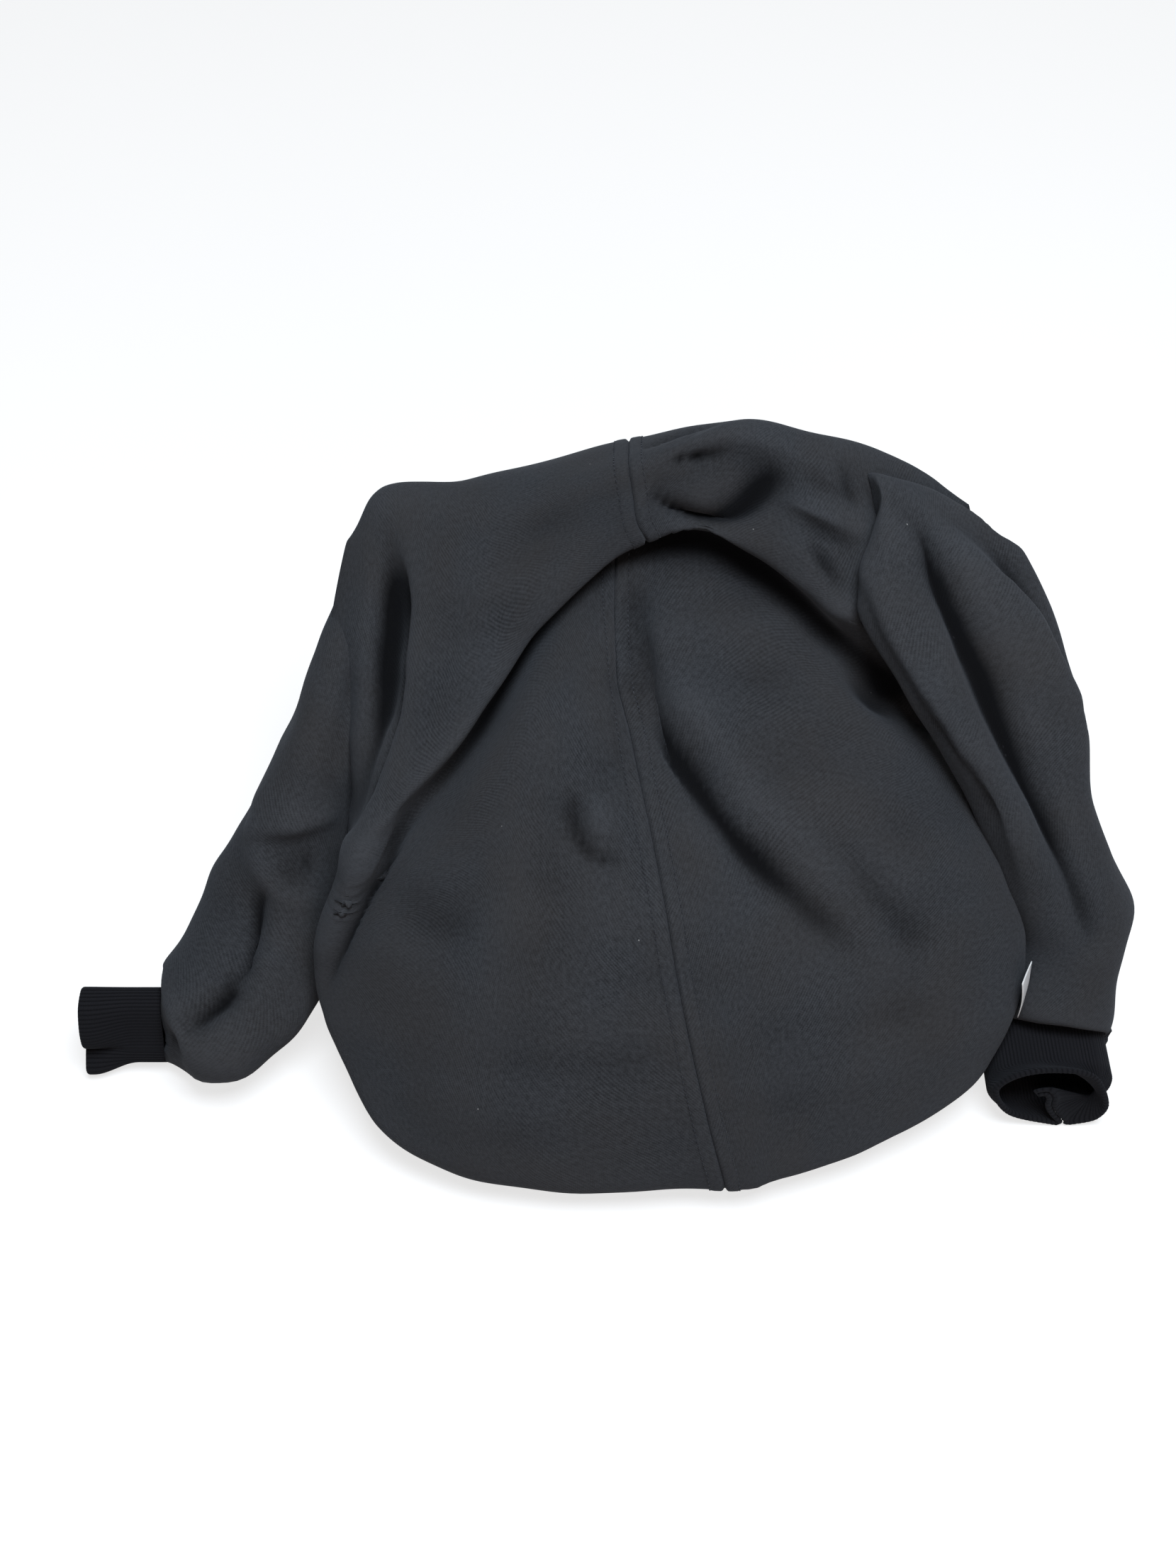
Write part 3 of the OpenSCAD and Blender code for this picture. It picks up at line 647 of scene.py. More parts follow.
def grain_group() -> bpy.types.NodeTree:
    """Lacquered or bare pressed metal and moulded plastic: fine grain and rubbed places."""
    group, n, src, out = new_group(
        "rubbed_surface",
        {
            "Place": ("NodeSocketVector", None),
            "Base": ("NodeSocketColor", (0.02, 0.02, 0.02, 1)),
            "Rubbed": ("NodeSocketColor", (0.2, 0.2, 0.2, 1)),
            "Wear": ("NodeSocketFloat", 0.5),
        },
        {"Color": "NodeSocketColor", "Height": "NodeSocketFloat", "Roughness": "NodeSocketFloat"},
    )
    fine = n.noise(src.outputs["Place"], 2600, 3)
    broad = n.noise(src.outputs["Place"], 420, 3)
    worn = n.math("MULTIPLY", n.level(broad, 0.52, 0.7, 0.0, 1.0), src.outputs["Wear"])
    n.feed(out.inputs["Color"], n.mix(worn, src.outputs["Base"], src.outputs["Rubbed"]))
    n.feed(out.inputs["Height"], fine)
    n.feed(out.inputs["Roughness"], n.level(fine, 0.2, 0.8, 0.28, 0.5))
    return group


Colour = tuple[float, float, float]


class Groups:
    """The shared node groups, each made once."""

    def __init__(self) -> None:
        """Builds every group."""
        self.knit = knit_group()
        self.weave = weave_group()
        self.rib = rib_group()
        self.grain = grain_group()


def start_material(name: str) -> tuple[bpy.types.Material, Nodes, bpy.types.Node]:
    """Starts a material.

    Args:
        name: the material's name.

    Returns:
        The material, its nodes and its Principled shader.
    """
    material = bpy.data.materials.new(name)
    material.use_nodes = True
    nodes = Nodes(material.node_tree)
    shader = material.node_tree.nodes["Principled BSDF"]
    return material, nodes, shader


def place_in_group(nodes: Nodes, group: bpy.types.NodeTree, place: bpy.types.NodeSocket,
                   values: dict[str, object]) -> bpy.types.Node:
    """Puts a group into a material.

    Args:
        nodes: the material's nodes.
        group: the group.
        place: coordinates that the group reads.
        values: values of its other inputs.

    Returns:
        The group's node.
    """
    node = nodes.add("ShaderNodeGroup", node_tree=group)
    nodes.feed(node.inputs["Place"], place)
    for key, value in values.items():
        nodes.feed(node.inputs[key], (*value, 1) if isinstance(value, tuple) else value)
    return node


@dataclass(frozen=True)
class ClothFinish:
    """A cloth's finish, which follows the piece's own flat measure in millimetres."""

    name: str
    group: str
    values: dict
    sheen: float = 0.06
    sheen_tint: Colour = (0.8, 0.87, 1.0)
    bump: float = 0.7
    depth: float = 0.00012
    roughness: float = 0.95

    def build(self, groups: Groups) -> bpy.types.Material:
        """Makes the material.

        Args:
            groups: the shared node groups.

        Returns:
            The material.
        """
        material, nodes, shader = start_material(self.name)
        place = nodes.add("ShaderNodeUVMap").outputs[0]
        cloth = place_in_group(nodes, getattr(groups, self.group), place, self.values)
        nodes.feed(shader.inputs["Base Color"], cloth.outputs["Color"])
        # The relief attribute drives the knit's painted shade in creases and painted light on ridges.
        if "Relief" in cloth.inputs:
            relief = nodes.add("ShaderNodeAttribute", attribute_name="relief")
            nodes.feed(cloth.inputs["Relief"], relief.outputs["Fac"])
        if "Roughness" in cloth.outputs:
            nodes.feed(shader.inputs["Roughness"], cloth.outputs["Roughness"])
        else:
            shader.inputs["Roughness"].default_value = self.roughness
        shader.inputs["Sheen Weight"].default_value = self.sheen
        shader.inputs["Sheen Roughness"].default_value = 0.6
        shader.inputs["Sheen Tint"].default_value = (*self.sheen_tint, 1)
        shader.inputs["Specular IOR Level"].default_value = 0.06
        bump = nodes.add("ShaderNodeBump", in_Strength=self.bump, in_Distance=self.depth)
        nodes.feed(bump.inputs["Height"], cloth.outputs["Height"])
        nodes.feed(shader.inputs["Normal"], bump.outputs[0])
        return material


@dataclass(frozen=True)
class HardFinish:
    """Metal or plastic with a fine grain and rubbed places."""

    name: str
    base: Colour
    rubbed: Colour
    metallic: float
    wear: float = 0.5

    def build(self, groups: Groups) -> bpy.types.Material:
        """Makes the material.

        Args:
            groups: the shared node groups.

        Returns:
            The material.
        """
        material, nodes, shader = start_material(self.name)
        place = nodes.add("ShaderNodeTexCoord").outputs["Object"]
        grain = place_in_group(nodes, groups.grain, place, {
            "Base": self.base, "Rubbed": self.rubbed, "Wear": self.wear})
        nodes.feed(shader.inputs["Base Color"], grain.outputs["Color"])
        nodes.feed(shader.inputs["Roughness"], grain.outputs["Roughness"])
        shader.inputs["Metallic"].default_value = self.metallic
        bump = nodes.add("ShaderNodeBump", in_Strength=0.15, in_Distance=0.00004)
        nodes.feed(bump.inputs["Height"], grain.outputs["Height"])
        nodes.feed(shader.inputs["Normal"], bump.outputs[0])
        return material


# ---- The bag's own shapes, in millimetres ------------------------------------------------------------

# Columns run from the left side seam to the right one. Each column runs from the table at the front, up the
# bulge, under and over the fold and the ridge, and down the back.
OUTER_NET = (
    ((-98, -90, 0), (-114, -92, 24), (-121, -80, 46), (-119, -66, 64), (-115, -56, 74), (-112, -48, 80),
     (-110, -41, 85), (-110, -34, 90), (-110, -26, 96), (-113, -2, 114), (-119, 26, 140), (-113, 58, 165),
     (-112, 46, 146), (-117, 0, 108), (-119, -50, 70), (-112, -78, 32), (-98, -76, 0)),
    ((-92, -122, 0), (-100, -146, 26), (-114, -118, 52), (-114, -103, 72), (-109, -96, 88), (-106, -90, 98),
     (-103, -84, 106), (-100, -78, 113), (-97, -70, 120), (-97, -48, 129), (-91, 8, 153), (-97, 66, 184),
     (-94, 86, 158), (-90, 62, 108), (-98, 22, 72), (-106, -4, 34), (-100, -6, 0)),
    ((-62, -140, 0), (-68, -168, 18), (-66, -158, 56), (-60, -130, 95), (-56, -96, 118), (-58, -62, 128),
     (-58, -34, 126), (-58, -28, 132), (-61, -45, 141), (-60, -34, 150), (-60, 15, 172), (-60, 60, 187),
     (-64, 92, 168), (-76, 108, 124), (-88, 106, 76), (-96, 98, 34), (-92, 92, 0)),
    ((-24, -150, 0), (-30, -177, 16), (-30, -168, 52), (-29, -140, 92), (-28, -96, 128), (-28, -24, 150),
     (-26, 22, 150), (-25, 28, 156), (-25, 8, 161), (-25, 14, 171), (-26, 42, 185), (-26, 62, 194),
     (-28, 98, 178), (-34, 126, 136), (-50, 142, 84), (-66, 142, 42), (-74, 148, 0)),
    ((44, -150, 0), (48, -177, 16), (40, -169, 50), (30, -144, 88), (20, -98, 124), (6, -10, 152),
     (4, 58, 160), (10, 62, 168), (17, 46, 174), (13, 46, 184), (11, 54, 193), (9, 66, 202),
     (10, 100, 188), (14, 130, 144), (20, 142, 88), (26, 140, 42), (28, 148, 0)),
    ((72, -148, 0), (70, -172, 16), (70, -162, 50), (68, -134, 88), (62, -84, 122), (56, 0, 150),
     (54, 50, 158), (56, 56, 167), (58, 38, 174), (58, 42, 185), (56, 60, 200), (54, 76, 214),
     (58, 106, 190), (66, 132, 148), (90, 144, 90), (116, 144, 44), (130, 148, 0)),
    ((104, -136, 0), (110, -158, 16), (112, -148, 48), (118, -116, 82), (122, -72, 110), (110, -20, 134),
     (100, 12, 140), (100, 18, 148), (102, 4, 160), (102, 12, 171), (98, 44, 194), (92, 72, 209),
     (98, 98, 184), (112, 110, 132), (130, 108, 80), (142, 100, 36), (140, 94, 0)),
    ((140, -112, 0), (154, -128, 24), (169, -112, 46), (172, -88, 70), (162, -62, 92), (147, -28, 110),
     (136, -12, 117), (132, -4, 124), (132, -6, 136), (132, 12, 154), (132, 46, 182), (128, 74, 197),
     (135, 88, 166), (137, 66, 118), (150, 24, 76), (155, -4, 36), (148, -8, 0)),
    ((148, -84, 0), (162, -88, 24), (175, -78, 48), (176, -60, 66), (166, -44, 82), (156, -28, 93),
     (148, -20, 98), (142, -10, 104), (146, -6, 119), (153, 6, 138), (160, 31, 162), (156, 60, 184),
     (159, 42, 156), (151, 4, 110), (172, -50, 72), (166, -78, 32), (147, -76, 0)),
)

# The inner bag's front and back, in the same order
INNER_NET = (
    ((-88, -84, 0), (-104, -78, 40), (-104, -58, 70), (-94, -20, 96), (-82, 20, 118), (-78, 52, 128),
     (-82, 28, 112), (-92, -16, 82), (-98, -50, 54), (-94, -66, 20), (-86, -66, 0)),
    ((-78, -116, 0), (-92, -122, 40), (-92, -92, 76), (-80, -40, 108), (-66, 10, 128), (-66, 58, 138),
     (-72, 70, 112), (-78, 56, 80), (-86, 20, 50), (-92, 0, 24), (-86, -6, 0)),
    ((-20, -140, 0), (-24, -160, 36), (-22, -128, 84), (-16, -78, 120), (-14, 0, 138), (-14, 62, 142),
     (-18, 92, 122), (-30, 110, 86), (-42, 112, 50), (-48, 110, 24), (-50, 115, 0)),
    ((40, -142, 0), (38, -158, 36), (28, -134, 78), (18, -84, 112), (10, 0, 138), (10, 50, 146),
     (12, 92, 130), (18, 112, 90), (24, 114, 50), (28, 112, 24), (28, 115, 0)),
    ((96, -126, 0), (98, -140, 36), (100, -108, 74), (92, -60, 104), (82, 0, 126), (76, 60, 142),
     (80, 90, 120), (94, 106, 84), (102, 112, 48), (106, 110, 24), (106, 115, 0)),
    ((130, -100, 0), (140, -104, 40), (140, -76, 66), (126, -36, 94), (108, 12, 118), (100, 58, 134),
     (106, 70, 108), (120, 52, 76), (130, 20, 48), (138, 2, 24), (134, -4, 0)),
    ((136, -74, 0), (146, -70, 40), (144, -50, 60), (132, -22, 80), (118, 14, 106), (114, 50, 120),
     (118, 30, 102), (130, -10, 74), (138, -44, 48), (140, -56, 20), (134, -56, 0)),
)

SEAM_COLUMN = 4
REAR_ROW = 16
INNER_RIDGE_ROW = 5
INNER_REAR_ROW = 10
OUTER_ZIP = (28.0, 156.0, 17.0)
INNER_ZIP = (28.0, 126.0, 8.0)
OUTER_CHAIN = 190.0
INNER_CHAIN = 156.0
TAPE_TAIL = 8.0
TAPE_WIDTH = 13.0
COIL_LANE = 1.4
COIL_SIDE = 2.2
STOP_LENGTH = 3.0
HEM_LAP = 7.0
SEAM_GAP = 0.3

BASE_OUTLINE = (
    (-84, 150), (-88, 130), (-97, 94), (-105, 0), (-106, -40), (-103, -92), (-96, -126), (-64, -144),
    (-24, -154), (44, -154), (74, -152), (107, -140), (142, -115), (152, -84), (156, -40), (154, 0),
    (146, 96), (142, 130), (140, 150),
)
INNER_BASE_OUTLINE = (
    (-58, 118), (-62, 112), (-76, 90), (-91, -2), (-92, -40), (-92, -86), (-81, -119), (-20, -144),
    (42, -146), (99, -130), (134, -103), (140, -74), (140, -40), (138, -2), (122, 90), (116, 112), (114, 118),
)

# Rings across each sleeve: middle, half thickness, half height
LEFT_RINGS = (
    ((-114, 13, 114), 18, 28), ((-121, -7, 99), 21, 28), ((-131, -29, 78), 25, 27), ((-144, -52, 55), 31, 22),
    ((-154, -76, 38), 35, 21), ((-169, -96, 29), 34, 23), ((-181, -99, 25), 28, 23),
)
RIGHT_RINGS = (
    ((143, 18, 172), 41, 12), ((157, 0, 154), 41, 15), ((169, -20, 134), 34, 16), ((176, -41, 112), 24, 17),
    ((187, -57, 90), 23, 19), ((200, -71, 67), 26, 20), ((196, -85, 46), 22, 21), ((192, -97, 30), 24, 22),
)
LEFT_CUFF_OUTLINE = ((8, -2), (11, 10), (5, 17), (-4, 14), (-8, 2), (-11, -10), (-6, -17), (3, -14))
RIGHT_CUFF_OUTLINE = ((26, -2), (20, 10), (0, 14), (-20, 11), (-27, 0), (-21, -12), (0, -16), (20, -13))
LEFT_MOUTH_OUTLINE = (
    (9, -4), (11, 8), (6, 18), (0, 20), (-7, 18), (-12, 10), (-13, 2), (-11, -3), (-8, -5), (-11, -8),
    (-15, -13), (-13, -18), (-6, -19), (0, -17), (4, -13), (7, -9))
RIGHT_MOUTH_OUTLINE = (
    (25, 4), (17, 15), (2, 19), (-16, 15), (-25, -4), (-22, -15), (-12, -19), (-7.8, -18.7), (-7.2, -16.6),
    (-3.7, -11.5), (-0.9, -6), (-0.6, -0.5), (2, 3.6), (6.5, 2.6), (2.1, 3.5), (-0.5, -0.5), (-0.8, -6),
    (-3.6, -11.6), (-7.1, -16.7), (-6.4, -18.7), (-2, -19), (17, -12))
CUFF_LENGTH = 34.0
RIB = 2.4


# Folds, drawn from top to bottom or from left to right, as kind, points, width, height and lean
LEFT_DRAPE = (
    Fold(FoldKind.VALLEY, (
        (-98, 60, 178), (-94, 46, 171), (-93, 26, 161), (-95, 5, 149), (-100, -22, 135), (-107, -42, 121),
        (-113, -54, 108)), 7, 11),
    Fold(FoldKind.CREASE, (
        (-92, 44, 168), (-90, 20, 160), (-94, -16, 147), (-98, -40, 137), (-106, -55, 124),
        (-112, -64, 113)), 8, 18),
    Fold(FoldKind.LIP, (
        (-113, -74, 102), (-108, -66, 113), (-98, -52, 128), (-90, -28, 141), (-86, -10, 149),
        (-84, 10, 159), (-84, 30, 169), (-92, 50, 180)), 12, 4, 2),
)
LEFT_SLEEVE_ONLY = (
    Fold(FoldKind.LIP, (
        (-112, -36, 98), (-122, -38, 95), (-134, -39, 93), (-142, -40, 91), (-152, -38, 86)), 14, 7, 4),
    Fold(FoldKind.CREASE, ((-112, -42, 80), (-122, -41, 75), (-132, -42, 75), (-142, -44, 82)), 12, 13),
    Fold(FoldKind.ROLL, (
        (-146, -36, 91), (-147, -45, 86), (-146, -54, 79), (-140, -62, 72), (-130, -61, 67),
        (-118, -60, 70)), 6, 6),
    Fold(FoldKind.CREASE, (
        (-138, -56, 76), (-147, -63, 68), (-148, -70, 62), (-149, -79, 54), (-152, -87, 46), (-160, -96, 40),
        (-169, -104, 38), (-180, -108, 32), (-194, -104, 20)), 9, 15),
    Fold(FoldKind.ROLL, (
        (-126, -64, 66), (-136, -72, 60), (-143, -82, 50), (-152, -94, 38), (-162, -102, 24)), 8, 4),
    Fold(FoldKind.VALLEY, ((-144, -90, 40), (-158, -100, 30), (-170, -107, 24), (-184, -106, 13)), 6, 4),
    Fold(FoldKind.VALLEY, ((-124, 22, 128), (-124, 4, 116), (-130, -14, 104), (-140, -30, 92)), 7, 3),
)
LEFT_FRONT = (
    Fold(FoldKind.CREASE, (
        (-78, -56, 116), (-84, -66, 112), (-89, -77, 108), (-96, -85, 98), (-105, -94, 84), (-114, -100, 68),
        (-120, -103, 52)), 10, 11),
    Fold(FoldKind.LIP, (
        (-86, -62, 126), (-94, -71, 116), (-103, -81, 102), (-111, -90, 85), (-117, -97, 64),
        (-119, -103, 46)), 16, 8, 3),
    Fold(FoldKind.VALLEY, ((8, 50, 160), (9, -5, 150), (10, -40, 143), (13, -62, 136)), 8, 5),
    Fold(FoldKind.CREASE, ((-14, -62, 138), (-13, -78, 134), (-5, -91, 128), (7, -92, 127)), 7, 6),
    Fold(FoldKind.ROLL, ((-4, -64, 138), (-3, -78, 133), (4, -84, 131)), 7, 3),
    Fold(FoldKind.VALLEY, ((-27, -47, 145), (-23, -94, 127), (-23, -132, 97)), 14, 4),
    Fold(FoldKind.VALLEY, ((-50, -112, 108), (-70, -104, 104), (-90, -90, 100)), 12, 4),
)
RIGHT_FRONT = (
    Fold(FoldKind.CREASE, (
        (12, 48, 159), (19, -15, 148), (38, -56, 136), (59, -82, 122), (82, -99, 108),
        (112, -116, 84)), 14, 12),
    Fold(FoldKind.ROLL, (
        (24, 0, 150), (38, -34, 142), (58, -60, 130), (80, -78, 118), (102, -92, 104)), 10, 4),
    Fold(FoldKind.VALLEY, ((84, -64, 123), (111, -88, 105), (133, -106, 78)), 9, 5),
    Fold(FoldKind.VALLEY, ((23, -26, 146), (41, -45, 138), (57, -60, 131)), 5, 3),
    Fold(FoldKind.ROLL, ((70, -40, 134), (100, -70, 114), (126, -92, 88)), 12, 3),
    Fold(FoldKind.VALLEY, ((104, 8, 170), (111, 3, 159), (120, -2, 146), (130, -8, 130)), 10, 15),
    Fold(FoldKind.VALLEY, (
        (52, -172, 12), (84, -166, 12), (116, -152, 13), (140, -136, 15), (156, -114, 18)), 3, 4),
)
RIGHT_DRAPE = (
    Fold(FoldKind.ROLL, ((24, 68, 205), (43, 73, 211), (59, 72, 212), (76, 67, 209), (88, 60, 203)), 5, 4),
    Fold(FoldKind.CREASE, ((14, 78, 202), (34, 86, 205), (56, 84, 212)), 4, 5),
    Fold(FoldKind.CREASE, ((25, 66, 203), (34, 70, 203), (44, 71, 204), (54, 70, 206)), 4, 7),
    Fold(FoldKind.CREASE, (
        (18, 60, 192), (32, 53, 187), (42, 50, 185), (56, 54, 189), (67, 61, 195), (74, 63, 203)), 9, 19),
    Fold(FoldKind.LIP, ((110, 36, 186), (95, 42, 191), (73, 53, 195)), 9, 6, 3),
    Fold(FoldKind.CREASE, ((79, 46, 190), (93, 38, 188), (108, 33, 182)), 5, 5),
    Fold(FoldKind.CREASE, ((84, 38, 187), (93, 26, 179), (101, 15, 172)), 5, 7),
    Fold(FoldKind.CREASE, ((82, 61, 203), (97, 53, 198), (107, 50, 195)), 4, 4),
    Fold(FoldKind.CREASE, ((99, 69, 207), (103, 58, 200), (107, 44, 192)), 4, 7),
    Fold(FoldKind.LIP, (
        (175, -76, 86), (167, -66, 109), (157, -54, 127), (146, -44, 142), (134, -30, 156), (123, -14, 168),
        (113, 4, 180), (109, 27, 188), (106, 52, 195)), 13, 6, 3),
    Fold(FoldKind.CREASE, (
        (104, 69, 204), (118, 50, 200), (129, 36, 194), (138, 18, 184), (148, -2, 170), (156, -16, 155),
        (164, -30, 142), (174, -45, 126), (184, -58, 112), (196, -76, 90), (206, -92, 68)), 9, 18),
    Fold(FoldKind.LIP, (
        (108, 66, 206), (137, 36, 192), (153, 25, 181), (167, 16, 166), (178, 2, 152), (188, -14, 132),
        (198, -38, 112), (214, -58, 88)), 14, 7, 4),
    Fold(FoldKind.VALLEY, (
        (140, 70, 190), (156, 45, 181), (170, 26, 167), (184, 4, 146), (196, -20, 124)), 7, 5),
)


def rise(y: np.ndarray, low: float, high: float) -> np.ndarray:
    """A straight climb from 0 at low to 1 at high."""
    return np.clip((y - low) / (high - low), 0, 1)


def outer_floor(points: Points) -> np.ndarray:
    """Height of what the outer cloth stands on, in the frame, in millimetres."""
    reach = COIL_LANE / 2 + TAPE_WIDTH
    edge = OUTER_ZIP[1] + SHIFT[1] - reach
    high = OUTER_ZIP[2] + TAPE / 2 + SEAM_GAP
    return BASE + (high - BASE) * rise(points[..., 1], edge - 28, edge - 6)


def inner_floor(points: Points) -> np.ndarray:
    """Height of what the inner bag stands on, in the frame, in millimetres."""
    reach = COIL_LANE / 2 + TAPE_WIDTH
    edge = INNER_ZIP[1] + SHIFT[1] - reach
    low = BASE + SEAM_GAP + LINING
    high = INNER_ZIP[2] + TAPE / 2 + SEAM_GAP
    return low + (high - low) * rise(points[..., 1], edge - 14, edge - 1)


def stand_on(grid: Points, floor: Callable[[Points], np.ndarray], thickness: float) -> Points:
    """Lifts a grid's outer face off what it stands on."""
    lifted = grid.copy()
    lifted[..., 2] = np.maximum(lifted[..., 2], floor(grid) + thickness)
    return lifted


def even_rows(net: Net, pitch: float, first: float, last: float, marks: Sequence[float] = ()) -> np.ndarray:
    """Net rows about evenly spaced on the cloth.

    Args:
        net: the sheet.
        pitch: distance in millimetres.
        first: first row.
        last: last row.
        marks: rows that have to be among them.

    Returns:
        The rows.
    """
    fine = np.linspace(first, last, 400)
    columns = np.linspace(0, len(net.columns) - 1, 9)
    lengths = np.linalg.norm(np.diff(net.grid(columns, fine), axis=1), axis=2).mean(0)
    along = np.concatenate([[0], np.cumsum(lengths)])
    rows = np.interp(np.linspace(0, along[-1], round(along[-1] / pitch) + 1), along, fine)
    for mark in marks:
        rows[np.abs(rows - mark).argmin()] = mark
    return rows


def tube_grid(rings: Points, around: int, along: int) -> Points:
    """A smooth tube through closed rings.

    Args:
        rings: ring by ring, corner by corner.
        around: points around the tube.
        along: points along it.

    Returns:
        An array of around + 1 by along by three, whose last column repeats the first.
    """
    corners = rings.shape[1]
    wrapped = np.concatenate([rings[:, -3:], rings, rings[:, :4]], axis=1)
    turn = weights(np.linspace(3, 3 + corners, around + 1), wrapped.shape[1])
    fine = np.linspace(0, len(rings) - 1, 30 * len(rings))
    middle = weights(fine, len(rings)) @ rings.mean(1)
    length = np.concatenate([[0], np.cumsum(np.linalg.norm(np.diff(middle, axis=0), axis=1))])
    rows = np.interp(np.linspace(0, length[-1], along), length, fine)
    grid = np.einsum("lr,rkc,ik->ilc", weights(rows, len(rings)), wrapped, turn)
    grid[-1] = grid[0]
    return grid


def outward(grid: Points) -> Points:
    """Turns a closed tube's grid round if its normals point inwards."""
    middle = grid.mean(0, keepdims=True)
    inward = (grid_normals(grid) * (grid - middle)).sum() < 0
    return grid[::-1].copy() if inward else grid


def swept_strip(section: Line, start: float, length: float, pitch: float) -> Points:
    """A narrow cloth whose cross section runs straight along X.

    Args:
        section: the section's y, z points in millimetres.
        start: x of its first end.
        length: how far it runs.
        pitch: distance between grid points.

    Returns:
        A grid of length by section by three.
    """
    line = smooth_line([(0.0, *p) for p in section], pitch / 2)
    xs = np.linspace(start, start + length, max(2, round(length / pitch)))
    grid = np.repeat(line[None], len(xs), 0)
    grid[..., 0] = xs[:, None]
    return grid


def flat_cloth(name: str, outline: Line, low: float, thickness: float, pitch: float) -> bpy.types.Object:
    """A cloth that lies flat, cut to a smooth outline, with rounded edges.

    Args:
        name: the piece's name.
        outline: x, y points in millimetres, anticlockwise or not.
        low: height of its underside.
        thickness: of the cloth.
        pitch: distance between the points of its edge.

    Returns:
        The object.
    """
    line = smooth_line([(x, y, low) for x, y in outline], pitch)
    bm = bmesh.new()
    layer = bm.loops.layers.uv.verify()
    verts = [bm.verts.new(p * MM) for p in line]
    face = bm.faces.new(verts)
    if signed_area(line) > 0:
        face.normal_flip()
    made = bmesh.ops.extrude_face_region(bm, geom=[face])
    top = [v for v in made["geom"] if isinstance(v, bmesh.types.BMVert)]
    bmesh.ops.translate(bm, verts=top, vec=(0, 0, thickness * MM))
    rims = [e for e in bm.edges if len(e.link_faces) == 2 and abs(e.verts[0].co.z - e.verts[1].co.z) < 1e-7]
    bmesh.ops.bevel(
        bm, geom=rims, offset=thickness * 0.42 * MM, segments=3, profile=0.5, affect="EDGES", material=-1)
    bmesh.ops.recalc_face_normals(bm, faces=bm.faces[:])
    bmesh.ops.triangulate(bm, faces=[f for f in bm.faces if len(f.verts) > 4])
    for each in bm.faces:
        each.smooth = True
        for loop in each.loops:
            loop[layer].uv = loop.vert.co.x / MM, loop.vert.co.y / MM + loop.vert.co.z / MM
    return add_object(name, bm)


def signed_area(line: Points) -> float:
    """Area inside a flat loop, positive where it runs anticlockwise."""
    x, y = line[:, 0], line[:, 1]
    return float((x * np.roll(y, -1) - np.roll(x, -1) * y).sum() / 2)


@dataclass
class Kit:
    """The materials, made once from their finishes."""

    made: dict[str, bpy.types.Material] = field(default_factory=dict)

    def build(self) -> "Kit":
        """Makes every material."""
        groups = Groups()
        cotton = {
            "Pitch": KNIT_PITCH, "Deep": (0.012, 0.0125, 0.014), "Lit": (0.046, 0.049, 0.055),
            "Warm": (0.036, 0.031, 0.028), "Lint": 1.0,
        }
        plain = {"Thread": 0.5, "Deep": (0.005, 0.005, 0.006), "Lit": (0.016, 0.016, 0.018)}
        finishes = [
            ClothFinish("cotton_knit_left", "knit", {**cotton, "Slant": 1.0}),
            ClothFinish("cotton_knit_right", "knit", {**cotton, "Slant": -1.0}),
            ClothFinish("cuff_rib", "rib", {
                "Pitch": RIB_PITCH, "Deep": (0.0015, 0.0015, 0.002), "Lit": (0.016, 0.016, 0.019),
            }, sheen=0.03),
            ClothFinish("lining_weave", "weave", plain, sheen=0.1),
            ClothFinish("seam_tape_weave", "weave", {**plain, "Thread": 0.7}, sheen=0.1),
            ClothFinish("zip_tape_weave", "weave", {**plain, "Thread": 0.6}, sheen=0.1),
            ClothFinish("elastic_weave", "weave", {
                "Thread": 0.9, "Deep": (0.5, 0.49, 0.45), "Lit": (0.8, 0.79, 0.75)}, sheen=0.1),
            ClothFinish("label_satin", "weave", {
                "Thread": 0.25, "Deep": (0.7, 0.7, 0.7), "Lit": (0.86, 0.86, 0.85)}, sheen=0.1, bump=0.1),
            ClothFinish("sewing_thread", "weave", {
                "Thread": 0.3, "Deep": (0.006, 0.006, 0.007), "Lit": (0.022, 0.022, 0.025)}, sheen=0.2),
            HardFinish("nylon_coil", (0.012, 0.012, 0.013), (0.03, 0.03, 0.032), 0.0, 0.3),
            HardFinish("stop_metal", (0.42, 0.42, 0.43), (0.6, 0.6, 0.6), 1.0),
            HardFinish("lacquered_metal", (0.016, 0.016, 0.017), (0.12, 0.12, 0.12), 0.6),
        ]
        for finish in finishes:
            self.made[finish.name] = finish.build(groups)
        return self

    def __getitem__(self, name: str) -> bpy.types.Material:
        """The material of that name."""
        return self.made[name]


# ---- The outer bag -----------------------------------------------------------------------------------


